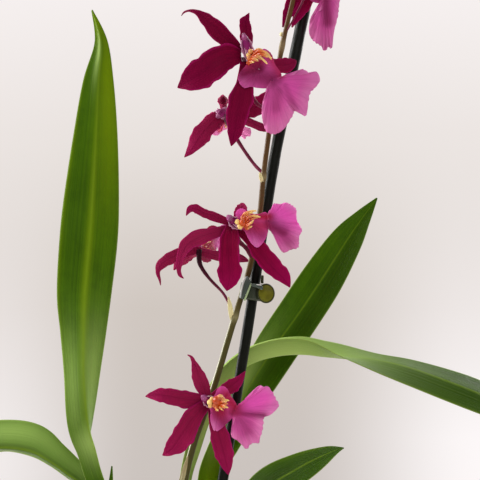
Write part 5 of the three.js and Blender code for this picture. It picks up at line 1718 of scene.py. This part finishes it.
class ORCHID_OT_pot(bpy.types.Operator):
    """Build the pot with its rim and drain holes"""

    bl_idname = "orchid.pot"
    bl_label = "Pot"

    def execute(self, context):
        s = context.scene.orchid_pot
        height, foot, mouth = s.height / MM, s.foot / MM, s.mouth / MM
        wall, shoulder, edge = s.wall / MM, (s.height - s.rim) / MM, (s.mouth + s.proud) / MM
        out = lambda z: foot + (mouth - foot) * z / height
        profile = [
            (0, 0), (foot - 3, 0), (foot - 1.5, 0.2), (foot - 0.4, 1),
            (out(2), 2.2), (out(14), 14), (out(14) + 0.5, 15), (out(16) + 0.5, 16.5), (out(17), 17.5),
            (out(shoulder - 2.2), shoulder - 2.2), (out(shoulder) + 0.5, shoulder - 0.9),
            (edge - 0.9, shoulder - 0.1), (edge - 0.2, shoulder + 0.4), (edge, shoulder + 1.2),
            (edge - 0.15, height - 4), (edge, height - 1.4), (edge - 0.4, height - 0.4),
            (edge - 1.2, height), (mouth - wall + 0.8, height), (mouth - wall + 0.2, height - 0.3),
            (mouth - wall, height - 1),
            (out(wall) - wall + 1, wall + 1), (out(wall) - wall, wall), (0, wall),
        ]
        material = pot_material(s)
        values = {"Radius": s.drain, "Ring": s.drain_ring, "Count": s.drains, "Material": material}
        mesh = grown("pot_shell", lathe(profile), drain_tree(), values)
        shade_by_angle(mesh)
        place("pot_shell", mesh, material, "pot", "pot")
        return {"FINISHED"}


class ORCHID_OT_bark(bpy.types.Operator):
    """Fill the pot with bark chips"""

    bl_idname = "orchid.bark"
    bl_label = "Bark"

    def execute(self, context):
        s = context.scene.orchid_pot
        height, foot, mouth, wall = s.height / MM, s.foot / MM, s.mouth / MM, s.wall / MM
        inner = lambda z: foot + (mouth - foot) * z / height - wall - BARK_GAP
        level, bottom = s.bark_level / MM, wall + BARK_GAP
        material = bark_material(s)
        top, skin = level - 1, level - 0.6
        bed = lathe([(0, bottom), (inner(wall), bottom), (inner(level), top), (0, top)], sides=96)
        ground = lathe([(0, skin), (inner(level) - 6.5, skin), (0, level - 0.7)], sides=64)
        mesh = grown("bark_chips", ground, chip_tree(), {**CHIPS, "Seed": s.seed, "Material": material})
        self.keep_inside(mesh, inner(level) - 0.8)
        place("bark_chips", mesh, material, "bark", "bark_medium")
        tone = bed.attributes.new("chip", "FLOAT", "POINT").data
        tone.foreach_set("value", [BED_TONE] * len(bed.vertices))
        place("bark_bed", bed, material, "bark")
        return {"FINISHED"}

    def keep_inside(self, mesh, radius):
        """Presses chips that lean on the wall back inside it, and keeps them below the rim."""
        points = np.zeros(len(mesh.vertices) * 3)
        mesh.vertices.foreach_get("co", points)
        points = points.reshape(-1, 3)
        out = np.hypot(points[:, 0], points[:, 1])
        points[:, :2] *= np.minimum(1, radius * MM / np.maximum(out, 1e-6))[:, None]
        points[:, 2] = np.minimum(points[:, 2], CHIP_TOP * MM)
        mesh.vertices.foreach_set("co", points.ravel())
        mesh.update()


class ORCHID_OT_stage(bpy.types.Operator):
    """Set the floor, the lights and the camera"""

    bl_idname = "orchid.stage"
    bl_label = "Stage"

    def execute(self, context):
        scene = context.scene
        settings = scene.orchid_stage
        f = Finish("floor", 0.8)
        f.colour(settings.floor, (f.mottle(2, 0.3, 0.7), 0.05, "cfc8c2"))
        disc = lathe([(0, 0), (settings.floor_radius / MM, 0), (0, -4)], sides=96)
        floor = bpy.data.objects.new("floor", disc)
        floor.data.materials.append(f.material)
        scene.collection.objects.link(floor)
        self.light("key", (-1.1, 0.25, 0.95), 0.9, settings.key)
        self.light("fill", (0.45, -1.3, 1.1), 1.2, settings.fill)
        self.light("back", (0.9, 0.9, 0.8), 0.8, settings.rim_light)
        self.light("edge", (-1, 0.5, 0.4), 0.5, settings.edge_light)
        self.world(scene)
        camera = bpy.data.cameras.new("camera")
        camera.sensor_width = 36
        camera.lens = camera.sensor_width * -EYE[1] / VIEW_WIDTH
        view = bpy.data.objects.new("camera", camera)
        view.location = EYE * MM
        view.rotation_euler = (math.pi / 2, 0, 0)
        scene.collection.objects.link(view)
        scene.camera = view
        scene.view_settings.view_transform = "Standard"
        return {"FINISHED"}

    def light(self, name, at, size, energy):
        lamp = bpy.data.lights.new(name, "AREA")
        lamp.energy, lamp.size = energy, size
        made = bpy.data.objects.new(name, lamp)
        made.location = at
        made.rotation_euler = (Vector((0.02, 0, 0.33)) - Vector(at)).to_track_quat("-Z", "Y").to_euler()
        bpy.context.scene.collection.objects.link(made)

    def world(self, scene):
        """A pale backdrop, lit from behind the plant and lighter towards the lower corners."""
        scene.world = bpy.data.worlds.new("studio")
        scene.world.use_nodes = True
        tree = scene.world.node_tree
        around = add(tree, "ShaderNodeTexCoord").outputs["Generated"]
        across, away, height = add(tree, "ShaderNodeSeparateXYZ", {0: around}).outputs
        bands = add(tree, "ShaderNodeValToRGB", {0: carry(tree, height, -0.16, 0.16)})
        stops = bands.color_ramp.elements
        for position, code in BACKDROP.items():
            stop = stops[position] if position in (0, 1) else stops.new(position)
            stop.color = (*linear(code), 1)
        left = math_node(tree, "MULTIPLY", ramp(tree, across, -0.06, -0.17), 0.75)
        sides = math_node(tree, "MAXIMUM", ramp(tree, across, 0.03, 0.16), left)
        corner = math_node(tree, "MULTIPLY", sides, carry(tree, height, 0.07, -0.13, start=0.15))
        lit = mix(tree, corner, bands.outputs[0], linear("fdf8f8"))
        back = tree.nodes["Background"].inputs
        tree.links.new(lit, back[0])
        tree.links.new(carry(tree, ramp(tree, away, -0.35, 0.6), 0, 1, start=0.42), back[1])


class ORCHID_PT_panel(bpy.types.Panel):
    """Sizes, colours and pieces of the orchid"""

    bl_idname = "ORCHID_PT_panel"
    bl_label = "Orchid"
    bl_space_type = "VIEW_3D"
    bl_region_type = "UI"
    bl_category = "Orchid"

    def draw(self, context):
        for operator in OPERATORS:
            self.layout.operator(operator.bl_idname)
        for label, kind in SETTINGS.items():
            box = self.layout.box()
            box.label(text=kind.__doc__)
            for key in kind.__annotations__:
                box.prop(getattr(context.scene, label), key)


OPERATORS = (
    ORCHID_OT_pot,
    ORCHID_OT_bark,
    ORCHID_OT_bulbs,
    ORCHID_OT_leaves,
    ORCHID_OT_stake,
    ORCHID_OT_spike,
    ORCHID_OT_clip,
    ORCHID_OT_blooms,
    ORCHID_OT_buds,
    ORCHID_OT_stage,
)
CLASSES = (*SETTINGS.values(), *OPERATORS, ORCHID_PT_panel)


def register():
    for kind in CLASSES:
        bpy.utils.register_class(kind)
    for label, kind in SETTINGS.items():
        setattr(bpy.types.Scene, label, PointerProperty(type=kind))


def unregister():
    for label in SETTINGS:
        delattr(bpy.types.Scene, label)
    for kind in reversed(CLASSES):
        bpy.utils.unregister_class(kind)


def main():
    register()
    for operator in OPERATORS:
        group, name = operator.bl_idname.split(".")
        getattr(getattr(bpy.ops, group), name)()


if __name__ == "__main__":
    main()
